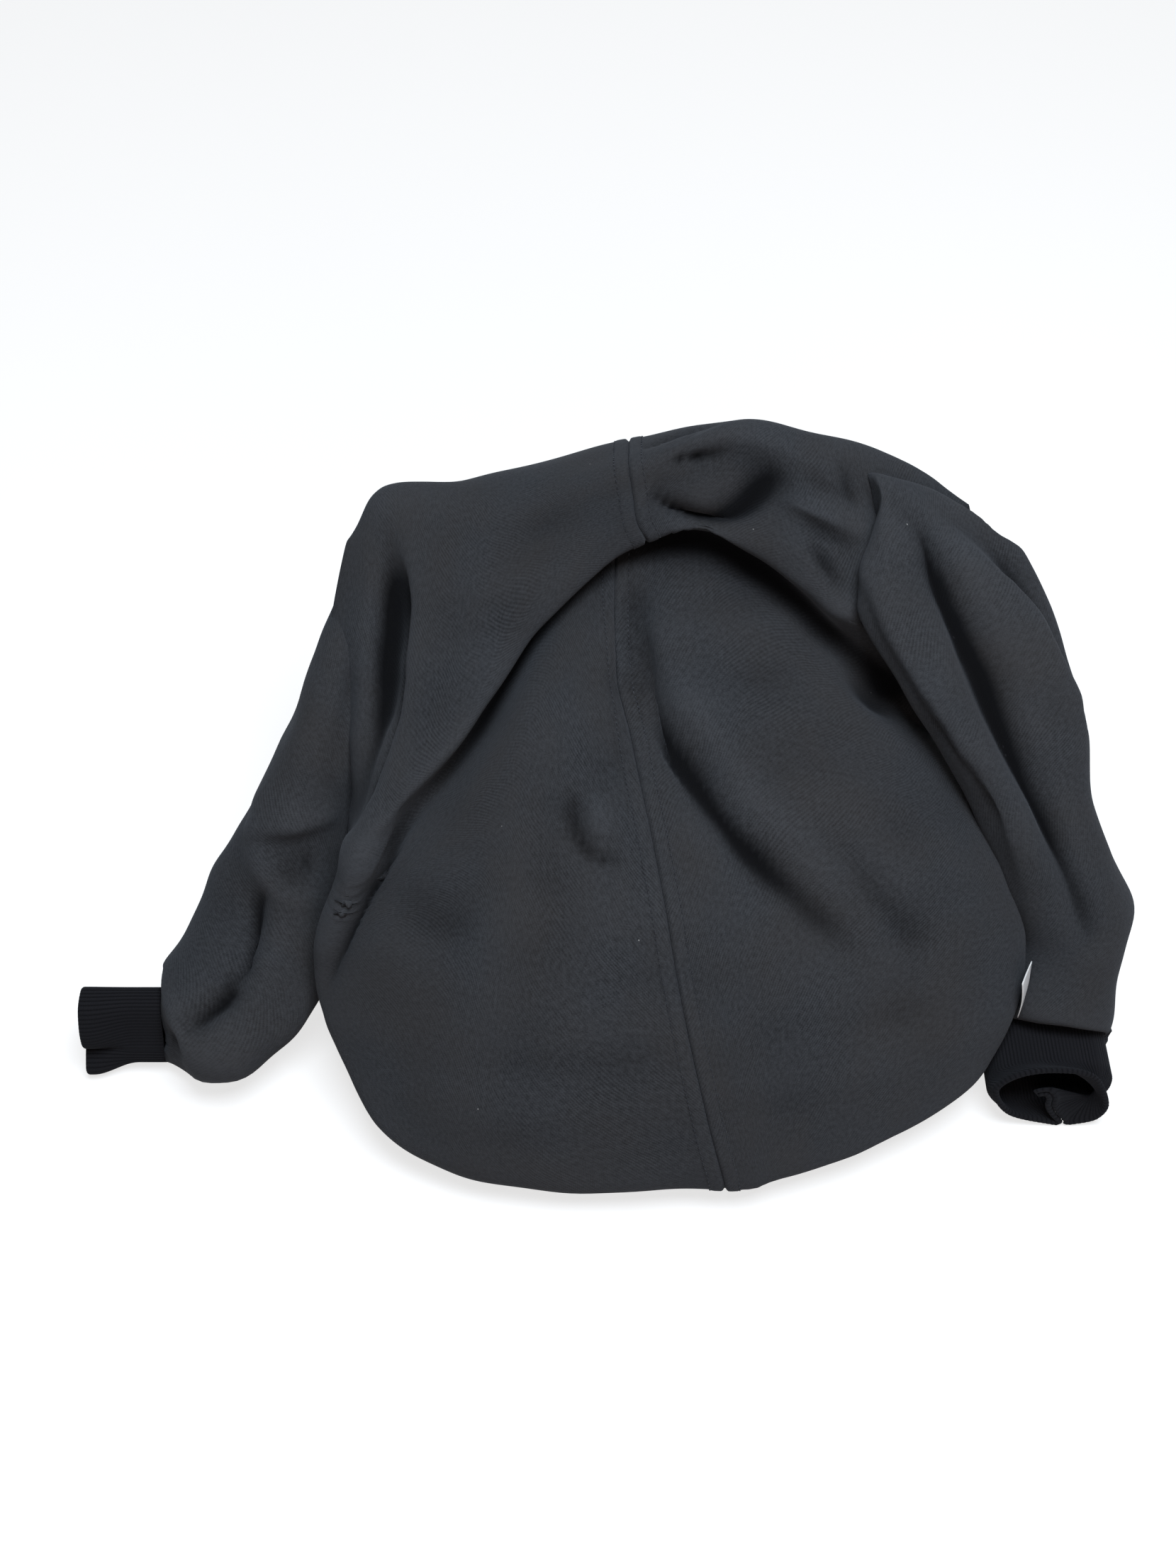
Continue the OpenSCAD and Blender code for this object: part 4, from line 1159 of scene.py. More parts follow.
@dataclass
class OuterBag:
    """The two halves with their centre seam, the base, the rear hem and the label."""

    kit: Kit
    pitch: float = 2.2
    net: Net = Net(OUTER_NET)
    stitch_line: float = 6.2
    stitch_pitch: float = 2.7
    left_hole: tuple = (0.5, 1.0, 12.0, 13.0)
    right_hole: tuple = (6.5, 7.5, 9.5, 10.5)
    folds: tuple = ()
    grids: dict = field(default_factory=dict)

    def columns(self, first: float, marks: Sequence[float]) -> np.ndarray:
        """Net columns of one half, closer together beside the centre seam.

        Args:
            first: first column.
            marks: columns that have to be among them.

        Returns:
            The columns.
        """
        near = [0, 0.008, 0.018, 0.03, 0.045, 0.062, 0.08]
        fine = SEAM_COLUMN + np.array([*near, *np.arange(0.098, 0.36, 0.017)])
        wide = np.arange(0.38, 4.0, 0.052)
        side = np.concatenate([fine, SEAM_COLUMN + wide, [8.0]])
        us = side if first == SEAM_COLUMN else (2 * SEAM_COLUMN - side)[::-1]
        for mark in marks:
            us[np.abs(us - mark).argmin()] = mark
        return us

    def folded(self, us: np.ndarray, vs: np.ndarray) -> Points:
        """The net's sheet with its large folds.

        Args:
            us: net columns.
            vs: net rows.

        Returns:
            A grid in millimetres, in the frame.
        """
        step = 0.012 if us[-1] > us[0] else -0.012
        padded = np.concatenate([us[:1] - 2 * step, us[:1] - step, us, us[-1:] + step, us[-1:] + 2 * step])
        grid = self.net.grid(padded, vs) + SHIFT
        for fold in self.folds:
            grid = fold.moved(grid, grid_normals(grid))
        if len(vs) > 9:
            grid = relaxed(grid, smooth_step(np.abs(padded - SEAM_COLUMN), 0.4, 1.0), 5)
        return grid[2:-2]

    def surface(self, us: np.ndarray, vs: np.ndarray) -> Points:
        """The outer face of the cloth with its folds, its seam and its stitch lines.

        Args:
            us: net columns.
            vs: net rows.

        Returns:
            A grid in millimetres, in the frame.
        """
        grid = self.folded(us, vs)
        normals = grid_normals(grid)
        grid = grid + ripples(grid, 5, 46.0, 0.5)[..., None] * normals
        grid = grid + ripples(grid, 6, 17.0, 0.16)[..., None] * normals
        seam = np.abs(us - SEAM_COLUMN).argmin()
        away = np.linalg.norm(grid - grid[seam][None], axis=2)
        along = lengths_along(grid[seam])
        pucker = np.sin(2 * math.pi * along / self.stitch_pitch)[None, :]
        relief = 0.55 * (1 - smooth_step(away, self.stitch_line - 0.6, self.stitch_line + 1.4))
        relief = relief - 1.5 * np.exp(-((away / 0.8) ** 2))
        relief = relief - (0.42 + 0.1 * pucker) * np.exp(-(((away - self.stitch_line) / 0.7) ** 2))
        return stand_on(grid + relief[..., None] * normals, outer_floor, CLOTH)

    def half_grid(self, first: int, hole: tuple) -> tuple[np.ndarray, np.ndarray, Points]:
        """Net columns, net rows and points of one half, worked out once.

        Args:
            first: the half's first column.
            hole: first and last column and row of its armhole.

        Returns:
            The columns, the rows and the grid.
        """
        if first not in self.grids:
            us = self.columns(first, hole[:2])
            vs = even_rows(self.net, self.pitch, 0, REAR_ROW, hole[2:])
            self.grids[first] = us, vs, self.surface(us, vs)
        return self.grids[first]

    def half(self, name: str, first: int, hole: tuple, material: str) -> bpy.types.Object:
        """One half of the bag's cloth.

        Args:
            name: the piece's name.
            first: its first column.
            hole: first and last column and row of its armhole.
            material: its finish.

        Returns:
            The object.
        """
        us, vs, grid = self.half_grid(first, hole)
        mid_u, mid_v = (us[1:] + us[:-1]) / 2, (vs[1:] + vs[:-1]) / 2
        in_u, in_v = (mid_u > hole[0]) & (mid_u < hole[1]), (mid_v > hole[2]) & (mid_v < hole[3])
        skip = in_u[:, None] & in_v[None, :]
        measure = measured(grid)
        measure[..., 0] -= measure[np.abs(us - SEAM_COLUMN).argmin(), 0, 0]
        # The relief drives painted shade in creases and painted light on ridges in the knit's colour.
        piece = sheet_object(name, grid, CLOTH, skip, measure=measure, relief=relief_of(grid))
        finish_piece(piece, self.kit[material], [name.replace("_cloth", "")])
        return piece

    def stitches(self, name: str, side: int) -> bpy.types.Object:
        """A row of topstitches beside the centre seam.

        Args:
            name: the piece's name.
            side: -1 for the left half, 1 for the right one.

        Returns:
            The object.
        """
        us = self.columns(SEAM_COLUMN if side > 0 else 0, ())
        vs = even_rows(self.net, 0.9, 0.6, REAR_ROW - 0.4)
        grid = self.surface(us, vs)
        seam = np.abs(us - SEAM_COLUMN).argmin()
        away = np.linalg.norm(grid - grid[seam][None], axis=2)
        order = np.arange(len(us)) if side > 0 else np.arange(len(us))[::-1]
        line = np.array([
            [np.interp(self.stitch_line, away[order, j], grid[order, j, k]) for k in range(3)]
            for j in range(len(vs))])
        normals = grid_normals(grid)
        column = np.array([np.abs(away[:, j] - self.stitch_line).argmin() for j in range(len(vs))])
        up = normals[column, np.arange(len(vs))]
        along = lengths_along(line)
        bm = bmesh.new()
        layer = bm.loops.layers.uv.verify()
        for place in np.arange(2.0, along[-1] - 2, self.stitch_pitch):
            spot = point_at(place, along, line)
            ahead = point_at(place + 0.8, along, line) - spot
            lift = point_at(place, along, up)
            way = ahead.normalized()
            across = way.cross(lift).normalized()
            lift = across.cross(way)
            turn = Matrix((way, across, lift)).transposed().to_4x4()
            size = Matrix.Diagonal((1.02, 0.27, 0.27, 1))
            shift = Matrix.Translation((spot + lift * 0.12) * MM)
            bmesh.ops.create_uvsphere(
                bm, u_segments=6, v_segments=5, radius=MM, matrix=shift @ turn @ size)
        for face in bm.faces:
            face.smooth = True
            for loop in face.loops:
                loop[layer].uv = loop.vert.co.x / MM, loop.vert.co.z / MM
        piece = add_object(name, bm)
        return finish_piece(piece, self.kit["sewing_thread"], [])

    def inside_tape(self, name: str, node: str, columns: tuple[float, float], rows: tuple[float, float],
                    width: float) -> bpy.types.Object:
        """A tape sewn under the cloth along a line of the net.

        Args:
            name: the piece's name.
            node: the solid that it stands for.
            columns: net columns of its two edges' directions.
            rows: first and last net row.
            width: its width in millimetres.

        Returns:
            The object.
        """
        vs = even_rows(self.net, 4.0, *rows)
        us = np.linspace(columns[0], columns[1], 61)
        raw = self.surface(us, vs)
        under = raw - (CLOTH + 1.0) * grid_normals(raw)
        middle = 30 if width < 0 else 0
        steps = np.linalg.norm(np.diff(raw, axis=0), axis=2)
        along = np.concatenate([np.zeros((1, len(vs))), np.cumsum(steps, axis=0)])
        along -= along[middle]
        places = np.linspace(width, -width, 9) if width < 0 else np.linspace(0, width, 7)
        grid = np.stack([
            np.stack([np.interp(places, along[:, j], under[:, j, k]) for k in range(3)], 1)
            for j in range(len(vs))], 1)
        if columns[1] < columns[0]:
            grid = grid[::-1]
        piece = sheet_object(name, grid, TAPE)
        finish_piece(piece, self.kit["seam_tape_weave"], [node])
        return piece

    def base(self) -> bpy.types.Object:
        """The base cloth, cut to its outline, with a soft rolled edge."""
        outline = [(x + SHIFT[0], y + SHIFT[1]) for x, y in BASE_OUTLINE]
        rear = OUTER_ZIP[1] + SHIFT[1] + COIL_LANE / 2 + TAPE_WIDTH + SEAM_GAP + CLOTH
        outline = [(BASE_OUTLINE[0][0] + SHIFT[0], rear), *outline, (BASE_OUTLINE[-1][0] + SHIFT[0], rear)]
        piece = flat_cloth("base_cloth", outline, 0.0, BASE, 4.0)
        finish_piece(piece, self.kit["cotton_knit_right"], ["base_panel"])
        return piece

    def rear_hem(self) -> bpy.types.Object:
        """The base cloth's rear edge, turned up and over the zip's rear tape."""
        outer_y = OUTER_ZIP[1] + SHIFT[1] + COIL_LANE / 2 + TAPE_WIDTH + SEAM_GAP + CLOTH
        top = OUTER_ZIP[2] + TAPE / 2 + SEAM_GAP + CLOTH
        length = OUTER_CHAIN + 2 * TAPE_TAIL
        section = [(outer_y, BASE + 0.1), (outer_y, 6), (outer_y, 12), (outer_y - 0.3, top - 1.6),
                   (outer_y - 1.6, top - 0.2), (outer_y - 4, top), (outer_y - CLOTH - HEM_LAP, top)]
        grid = swept_strip(section, OUTER_ZIP[0] + SHIFT[0] - length / 2, length, 2.0)
        wave = ripples(grid, 9, 40.0, 0.12)
        grid[..., 2] = np.maximum(grid[..., 2] + wave, BASE + 0.05)
        piece = sheet_object("mouth_hem_cloth", grid[::-1], CLOTH)
        finish_piece(piece, self.kit["cotton_knit_right"], ["mouth_hem"])
        return piece

    def end_tabs(self) -> bpy.types.Object:
        """The two tabs that close the mouth past the ends of the zip."""
        bm = bmesh.new()
        low, high = (np.array(c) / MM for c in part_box("mouth_end_tabs"))
        for side in (-1, 1):
            length = TAPE_TAIL - STOP_LENGTH - 2 * SEAM_GAP
            start = low[0] if side < 0 else high[0] - length
            section = [(low[1], high[2] - 0.7), (low[1] + 0.8, high[2]), ((low[1] + high[1]) / 2, high[2]),
                       (high[1] - 0.8, high[2]), (high[1], high[2] - 0.7)]
            grid = swept_strip(section, start, length, 1.0)
            place_grid(bm, grid[::-1], measured(grid))
        bmesh.ops.recalc_face_normals(bm, faces=bm.faces[:])
        piece = add_object("mouth_end_tab_cloth", bm)
        thicken(piece, CLOTH)
        finish_piece(piece, self.kit["cotton_knit_right"], ["mouth_end_tabs"])
        # The two tabs are 4.4 wide each, and a declared side is 10 at least
        return piece

    def label(self) -> bpy.types.Object:
        """The blank label, sewn by one edge beside the right sleeve, with its ends curling."""
        low, high = (np.array(c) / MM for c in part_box("care_label"))
        foot = np.array([high[0] + 4.0, high[1] + 1.0, low[2]])
        across = np.array([-6.0, -12.0, 0.0])
        rows = []
        for u in np.linspace(0, 1, 9):
            row = []
            for v in np.linspace(0, 1, 17):
                bow = 0.9 * math.sin(math.pi * v) * u + 0.5 * u * u
                row.append(foot + across * u + np.array([0.8 * bow - 1.0 * v, -0.6 * bow, 22.0 * v]))
            rows.append(row)
        grid = np.array(rows)
        piece = sheet_object("blank_label", grid, 0.4, measure=measured(grid))
        finish_piece(piece, self.kit["label_satin"], ["care_label"])
        return piece

    def build(self) -> None:
        """Makes every piece of the outer bag."""
        self.half("left_half_cloth", 0, self.left_hole, "cotton_knit_left")
        self.half("right_half_cloth", 4, self.right_hole, "cotton_knit_right")
        self.stitches("left_topstitch", -1)
        self.stitches("right_topstitch", 1)
        self.inside_tape("centre_seam_inside", "centre_seam_tape", (3.5, 4.5), (0.6, 15.4), -7.5)
        self.inside_tape("left_side_seam_inside", "left_side_seam", (0.02, 0.5), (1.0, 10.5), 15.0)
        self.inside_tape("right_side_seam_inside", "right_side_seam", (7.98, 7.5), (1.0, 10.5), 15.0)
        self.base()
        self.rear_hem()
        self.end_tabs()
        self.label()


# ---- The inner bag -----------------------------------------------------------------------------------


@dataclass
class InnerBag:
    """The lining bag inside the outer one, with its own mouth."""

    kit: Kit
    pitch: float = 5.0
    net: Net = Net(INNER_NET)
    left_hole: tuple = (0.0, 1.0, 6.0, 7.5)
    right_hole: tuple = (5.0, 6.0, 6.0, 7.5)
    folds: tuple = ()

    def side(self, name: str, first: float, last: float, holes: Sequence[tuple]) -> None:
        """The front or the back of the inner bag.

        Args:
            name: the piece's name.
            first: its first net row.
            last: its last net row.
            holes: armholes, first and last column and row.
        """
        us = np.linspace(0, len(INNER_NET) - 1, 61)
        marks = [m for hole in holes for m in hole[2:]]
        vs = even_rows(self.net, self.pitch, first, last, sorted(set(marks)))
        grid = self.net.grid(us, vs) + SHIFT
        for fold in self.folds:
            grid = fold.moved(grid, grid_normals(grid))
        grid = grid + (ripples(grid, 21, 34.0, 0.5) - 0.5)[..., None] * grid_normals(grid)
        grid = stand_on(grid, inner_floor, LINING)
        mid_u, mid_v = (us[1:] + us[:-1]) / 2, (vs[1:] + vs[:-1]) / 2
        skip = np.zeros((len(mid_u), len(mid_v)), bool)
        for hole in holes:
            inside_u = (mid_u > hole[0]) & (mid_u < hole[1])
            skip |= inside_u[:, None] & ((mid_v > hole[2]) & (mid_v < hole[3]))[None, :]
        piece = sheet_object(name, grid, LINING, skip)
        finish_piece(piece, self.kit["lining_weave"], [name.replace("_cloth", "")])

    def base(self) -> None:
        """The inner bag's base."""
        outline = [(x + SHIFT[0], y + SHIFT[1]) for x, y in INNER_BASE_OUTLINE]
        rear = INNER_ZIP[1] + SHIFT[1] + COIL_LANE / 2 + TAPE_WIDTH + SEAM_GAP + LINING
        outline = [(outline[0][0], rear), *outline, (outline[-1][0], rear)]
        piece = flat_cloth("inner_bag_base_cloth", outline, BASE + SEAM_GAP, LINING, 6.0)
        finish_piece(piece, self.kit["lining_weave"], ["inner_bag_base"])

    def rear_hem(self) -> None:
        """The base's rear edge, turned up and over the inner zip's rear tape."""
        rear = INNER_ZIP[1] + SHIFT[1] + COIL_LANE / 2 + TAPE_WIDTH + SEAM_GAP + LINING
        top = INNER_ZIP[2] + TAPE / 2 + SEAM_GAP + LINING
        low = BASE + SEAM_GAP + LINING
        length = INNER_CHAIN + 2 * TAPE_TAIL
        section = [(rear, low), (rear, low + 3), (rear, top - 1.2), (rear - 1.2, top - 0.1),
                   (rear - 3.5, top), (rear - LINING - HEM_LAP, top)]
        grid = swept_strip(section, INNER_ZIP[0] + SHIFT[0] - length / 2, length, 3.0)
        piece = sheet_object("inner_mouth_hem_cloth", grid[::-1], LINING)
        finish_piece(piece, self.kit["lining_weave"], ["inner_mouth_hem"])

    def build(self) -> None:
        """Makes every piece of the inner bag."""
        self.side("inner_bag_front_cloth", 0, INNER_RIDGE_ROW - 0.02, [])
        holes = [self.left_hole, self.right_hole]
        self.side("inner_bag_back_cloth", INNER_RIDGE_ROW + 0.02, INNER_REAR_ROW, holes)
        self.base()
        self.rear_hem()


# ---- The sleeves -------------------------------------------------------------------------------------


class Side(Enum):
    """The bag's two sleeves."""

    LEFT = "left"
    RIGHT = "right"


@dataclass
class Sleeve:
    """A sleeve from its armhole to its rib cuff, with its lining and its elastic band.

    The curl is from where to where behind its mouth the cuff goes over from its mouth's outline to
    its root's.
    """

    kit: Kit
    bag: OuterBag
    side: Side
    hole: tuple
    rings: tuple
    first_way: tuple
    cuff_at: tuple
    outline: tuple
    mouth: tuple
    material: str
    folds: tuple = ()
    sag: float = 0.0
    curl: tuple = (3.0, 22.0)
    corners: int = 24
    around: int = 110
    along: int = 130

    @property
    def name(self) -> str:
        """The sleeve's side as a word."""
        return self.side.value

    @property
    def sense(self) -> int:
        """Which way the armhole is passed round."""
        return 1 if self.side is Side.LEFT else -1

    def ring_frame(self, i: int) -> tuple[Points, Points, Points, float, float]:
        """Middle, sideways, upwards and the two half sizes of a ring."""
        middles = [np.array(r[0], float) + SHIFT for r in self.rings]
        if i == 0:
            way = np.array(self.first_way)
        else:
            way = middles[min(i + 1, len(middles) - 1)] - middles[i - 1]
        way = way / np.linalg.norm(way)
        side = np.cross(way, (0, 0, 1.0))
        side /= np.linalg.norm(side)
        return middles[i], side, np.cross(side, way), float(self.rings[i][1]), float(self.rings[i][2])

    def ring(self, i: int, depth: float) -> Points:
        """A closed ring of the sleeve, pulled in by a depth."""
        middle, side, up, half_w, half_h = self.ring_frame(i)
        a = 2 * math.pi * np.arange(self.corners) / self.corners
        sag = self.sag * half_w * np.maximum(0, np.cos(a)) * np.maximum(0, -np.sin(a))
        return (middle + np.outer((half_w - depth) * np.cos(a) + sag, side)
                + np.outer((half_h - depth) * np.sin(a), up))

    def hole_ring(self, depth: float) -> tuple[Points, Points]:
        """The armhole's edge and the cloth's normal in its middle."""
        u0, u1, v0, v1 = self.hole
        us, vs, grid = self.bag.half_grid(0 if self.side is Side.LEFT else SEAM_COLUMN, self.hole)
        mid_u, mid_v = (u0 + u1) / 2, (v0 + v1) / 2
        i, j = np.abs(us - mid_u).argmin(), np.abs(vs - mid_v).argmin()
        reach = np.linalg.norm(grid[np.abs(us - u1).argmin(), j] - grid[np.abs(us - u0).argmin(), j]) / 2
        a = 2 * math.pi * np.arange(self.corners) / self.corners
        s = self.sense * (1 - depth / reach) / np.maximum(np.abs(np.cos(a)), np.abs(np.sin(a)))
        u = mid_u + s * np.cos(a) * (u1 - u0) / 2
        v = mid_v - s * np.sin(a) * (v1 - v0) / 2
        x, y = np.interp(u, us, np.arange(len(us))), np.interp(v, vs, np.arange(len(vs)))
        x0, y0 = x.astype(int), y.astype(int)
        fx, fy = (x - x0)[:, None], (y - y0)[:, None]
        ring = ((grid[x0, y0] * (1 - fx) + grid[x0 + 1, y0] * fx) * (1 - fy)
                + (grid[x0, y0 + 1] * (1 - fx) + grid[x0 + 1, y0 + 1] * fx) * fy)
        return ring, grid_normals(grid[i - 2:i + 3, j - 2:j + 3])[2, 2]

    def cuff_ring(self, depth: float, back: float) -> Points:
        """The cuff's outline at a distance behind its mouth."""
        line = smooth_corners(self.outline, self.corners // len(self.outline))
        line = pulled_in(line, depth)
        x, y, z = self.cuff_at
        if self.side is Side.LEFT:
            return np.array([(x + back, y + p[0], z + p[1]) for p in line])
        return np.array([(x - p[0], y + back, z + p[1]) for p in line])

    def tube_rings(self, depth: float, with_root: bool) -> Points:
        """The rings that a tube of the sleeve passes."""
        rings = []
        if with_root:
            start, normal = self.hole_ring(depth - 1.0)
            end = self.ring(0, depth)
            way = np.array(self.first_way) / np.linalg.norm(self.first_way)
            for t in np.linspace(0, 0.84, 6):
                a, b, c, d = start - normal, start + 16 * normal, end - 16 * way, end
                rings.append((1 - t) ** 3 * a + 3 * t * (1 - t) ** 2 * b + 3 * t * t * (1 - t) * c + t**3 * d)
        rings += [self.ring(i, depth) for i in range(len(self.rings))]
        rings.append(self.cuff_ring(depth, CUFF_LENGTH + SEAM_GAP))
        return np.array(rings)

    def pivot(self) -> tuple[Points, Points]:
        """The middle of the first ring and the way that the sleeve leaves it."""
        middle = self.ring_frame(0)[0]
        return middle, np.array(self.first_way) / np.linalg.norm(self.first_way)

    def sculpted(self) -> Points:
        """The outer face of the sleeve and its root, with its folds."""
        grid = outward(tube_grid(self.tube_rings(0.0, True), self.around, self.along))
        vs = np.linspace(0, 1, self.along)
        for fold in self.folds:
            grid = fold.moved(grid, tube_normals(grid), smooth_step(vs, 0.02, 0.1))
        wrapped = np.concatenate([grid[-9:-1], grid, grid[1:9]])
        grid = relaxed(wrapped, np.ones(len(wrapped)), 4)[8:-8]
        grid[-1] = grid[0]
        normals = tube_normals(grid)
        ease = smooth_step(vs, 0, 0.06) * (1 - smooth_step(vs, 0.93, 1))
        grid = grid + (ease * ripples(grid, 31, 30.0, 0.5))[..., None] * normals
        grid[..., 2] = np.maximum(grid[..., 2], 1.2)
        return grid

    def cloth(self) -> None:
        """The sleeve's cloth with its root, as one piece baked in place."""
        grid = self.sculpted()
        # The relief drives painted shade in creases and painted light on ridges in the knit's colour.
        relief = relief_of(np.concatenate([grid[-25:-1], grid, grid[1:25]]))[24:-24]
        piece = sheet_object(f"{self.name}_sleeve_cloth", grid, CLOTH, closed=True, relief=relief)
        middle, way = self.pivot()
        start, end = middle - 6 * way, middle + 14 * way
        finish_piece(
            piece, self.kit[self.material],
            [f"{self.name}_sleeve_root", f"{self.name}_sleeve"],
            bend=(f"{self.name}_sleeve", tuple(start), tuple(end)))

    def lining(self) -> None:
        """The sleeve's lining, which follows the cloth's folds from the first ring on."""
        outer = self.sculpted()
        first = int(np.linalg.norm(outer.mean(0) - self.pivot()[0], axis=1).argmin())
        grid = (outer - (CLOTH + 1.0) * tube_normals(outer))[::2, first::2]
        grid[..., 2] = np.maximum(grid[..., 2], 1.2 + CLOTH + 1.0)
        piece = sheet_object(f"{self.name}_sleeve_lining_cloth", grid, LINING, closed=True)
        finish_piece(
            piece, self.kit["lining_weave"], [f"{self.name}_sleeve_lining"], f"{self.name}_sleeve")

    def cuff(self) -> None:
        """The rib cuff: two plies folded at the mouth, with ribs all round."""
        depths = RIB / 2 - RIB / 2 * np.cos(np.linspace(0, math.pi, 7))
        reach = RIB / 2 * (1 - np.sin(np.linspace(0, math.pi, 7)))
        outer = [(0.0, back) for back in np.linspace(CUFF_LENGTH, 2.0, 22)]
        turned = list(zip(depths, reach))
        inner = [(RIB, back) for back in np.linspace(2.0, CUFF_LENGTH, 14)]
        profile = [*outer, *turned, *inner, (RIB / 2, CUFF_LENGTH + 0.2), (0.0, CUFF_LENGTH)]
        fine = 8
        root, mouth = smooth_corners(self.outline, 64), smooth_corners(self.mouth, 512 // len(self.mouth))
        ribs = round((loop_length(root) + loop_length(mouth)) / 2 / RIB_PITCH)
        root, mouth = even_loop(root, ribs * fine), even_loop(mouth, ribs * fine)
        wave = 0.2 * np.abs(np.sin(np.linspace(0, ribs * math.pi, ribs * fine + 1))) ** 0.7
        x, y, z = self.cuff_at
        rows = []
        for depth, back in profile:
            share = smooth_step(np.array(back), *self.curl)
            line = share * root + (1 - share) * mouth
            inward = loop_normals(line[:-1])
            inward = np.vstack([inward, inward[:1]])
            stand = wave * (1 if depth < RIB / 2 else -1) - 0.1
            p = line + inward * (depth - stand)[:, None]
            if self.side is Side.LEFT:
                rows.append(np.stack([np.full(len(p), x + back), y + p[:, 0], z + p[:, 1]], 1))
            else:
                rows.append(np.stack([x - p[:, 0], np.full(len(p), y + back), z + p[:, 1]], 1))
        grid = np.stack(rows, 1)
        grid[..., 2] = np.maximum(grid[..., 2], 0.6)
        bm = bmesh.new()
        place_grid(bm, grid, measured(grid))
        bmesh.ops.remove_doubles(bm, verts=bm.verts[:], dist=1e-6)
        bmesh.ops.recalc_face_normals(bm, faces=bm.faces[:])
        piece = add_object(f"{self.name}_cuff_rib", bm)
        finish_piece(piece, self.kit["cuff_rib"], [f"{self.name}_cuff"], f"{self.name}_sleeve")

    def elastic(self) -> None:
        """The elastic band between the cuff's two plies."""
        rows = []
        for back in np.linspace(CUFF_LENGTH - 11.8, CUFF_LENGTH - 4.1, 5):
            rows.append(self.cuff_ring((RIB - 1.0) / 2 + 0.1, back))
        grid = outward(tube_grid(np.array(rows), 96, 9))
        piece = sheet_object(f"{self.name}_cuff_elastic_band", grid, 0.8, closed=True)
        finish_piece(
            piece, self.kit["elastic_weave"], [f"{self.name}_cuff_elastic"], f"{self.name}_sleeve")

    def build(self) -> None:
        """Makes every piece of the sleeve."""
        self.cloth()
        self.lining()
        self.cuff()
        self.elastic()


def tube_normals(grid: Points) -> Points:
    """Unit normals of a closed tube's grid."""
    wrapped = np.concatenate([grid[-2:-1], grid, grid[1:2]])
    return grid_normals(wrapped)[1:-1]


def smooth_corners(outline: Line, parts: int) -> Points:
    """A closed smooth loop through flat points, with some points between two corners."""
    knots = np.array(outline, float)
    count = len(knots)
    wrapped = np.vstack([knots[-3:], knots, knots[:4]])
    places = 3 + np.arange(count * parts) / parts
    return weights(places, len(wrapped)) @ wrapped


def loop_length(line: Points) -> float:
    """Length of a closed loop, whose first point isn't repeated."""
    return float(np.linalg.norm(np.roll(line, -1, 0) - line, axis=1).sum())


def even_loop(line: Points, count: int) -> Points:
    """A closed loop's evenly spaced points, with the first one repeated at the end."""
    closed = np.vstack([line, line[:1]])
    along = np.concatenate([[0], np.cumsum(np.linalg.norm(np.diff(closed, axis=0), axis=1))])
    places = np.linspace(0, along[-1], count + 1)
    return np.stack([np.interp(places, along, closed[:, k]) for k in range(2)], 1)


def loop_normals(line: Points) -> Points:
    """Unit directions into an anticlockwise loop at its points."""
    way = np.roll(line, -1, 0) - np.roll(line, 1, 0)
    way = way / np.linalg.norm(way, axis=1, keepdims=True)
    return np.stack([-way[:, 1], way[:, 0]], 1)


def pulled_in(line: Points, depth: float) -> Points:
    """An anticlockwise loop moved inwards."""
    return line + depth * loop_normals(line)


# ---- The zips ----------------------------------------------------------------------------------------


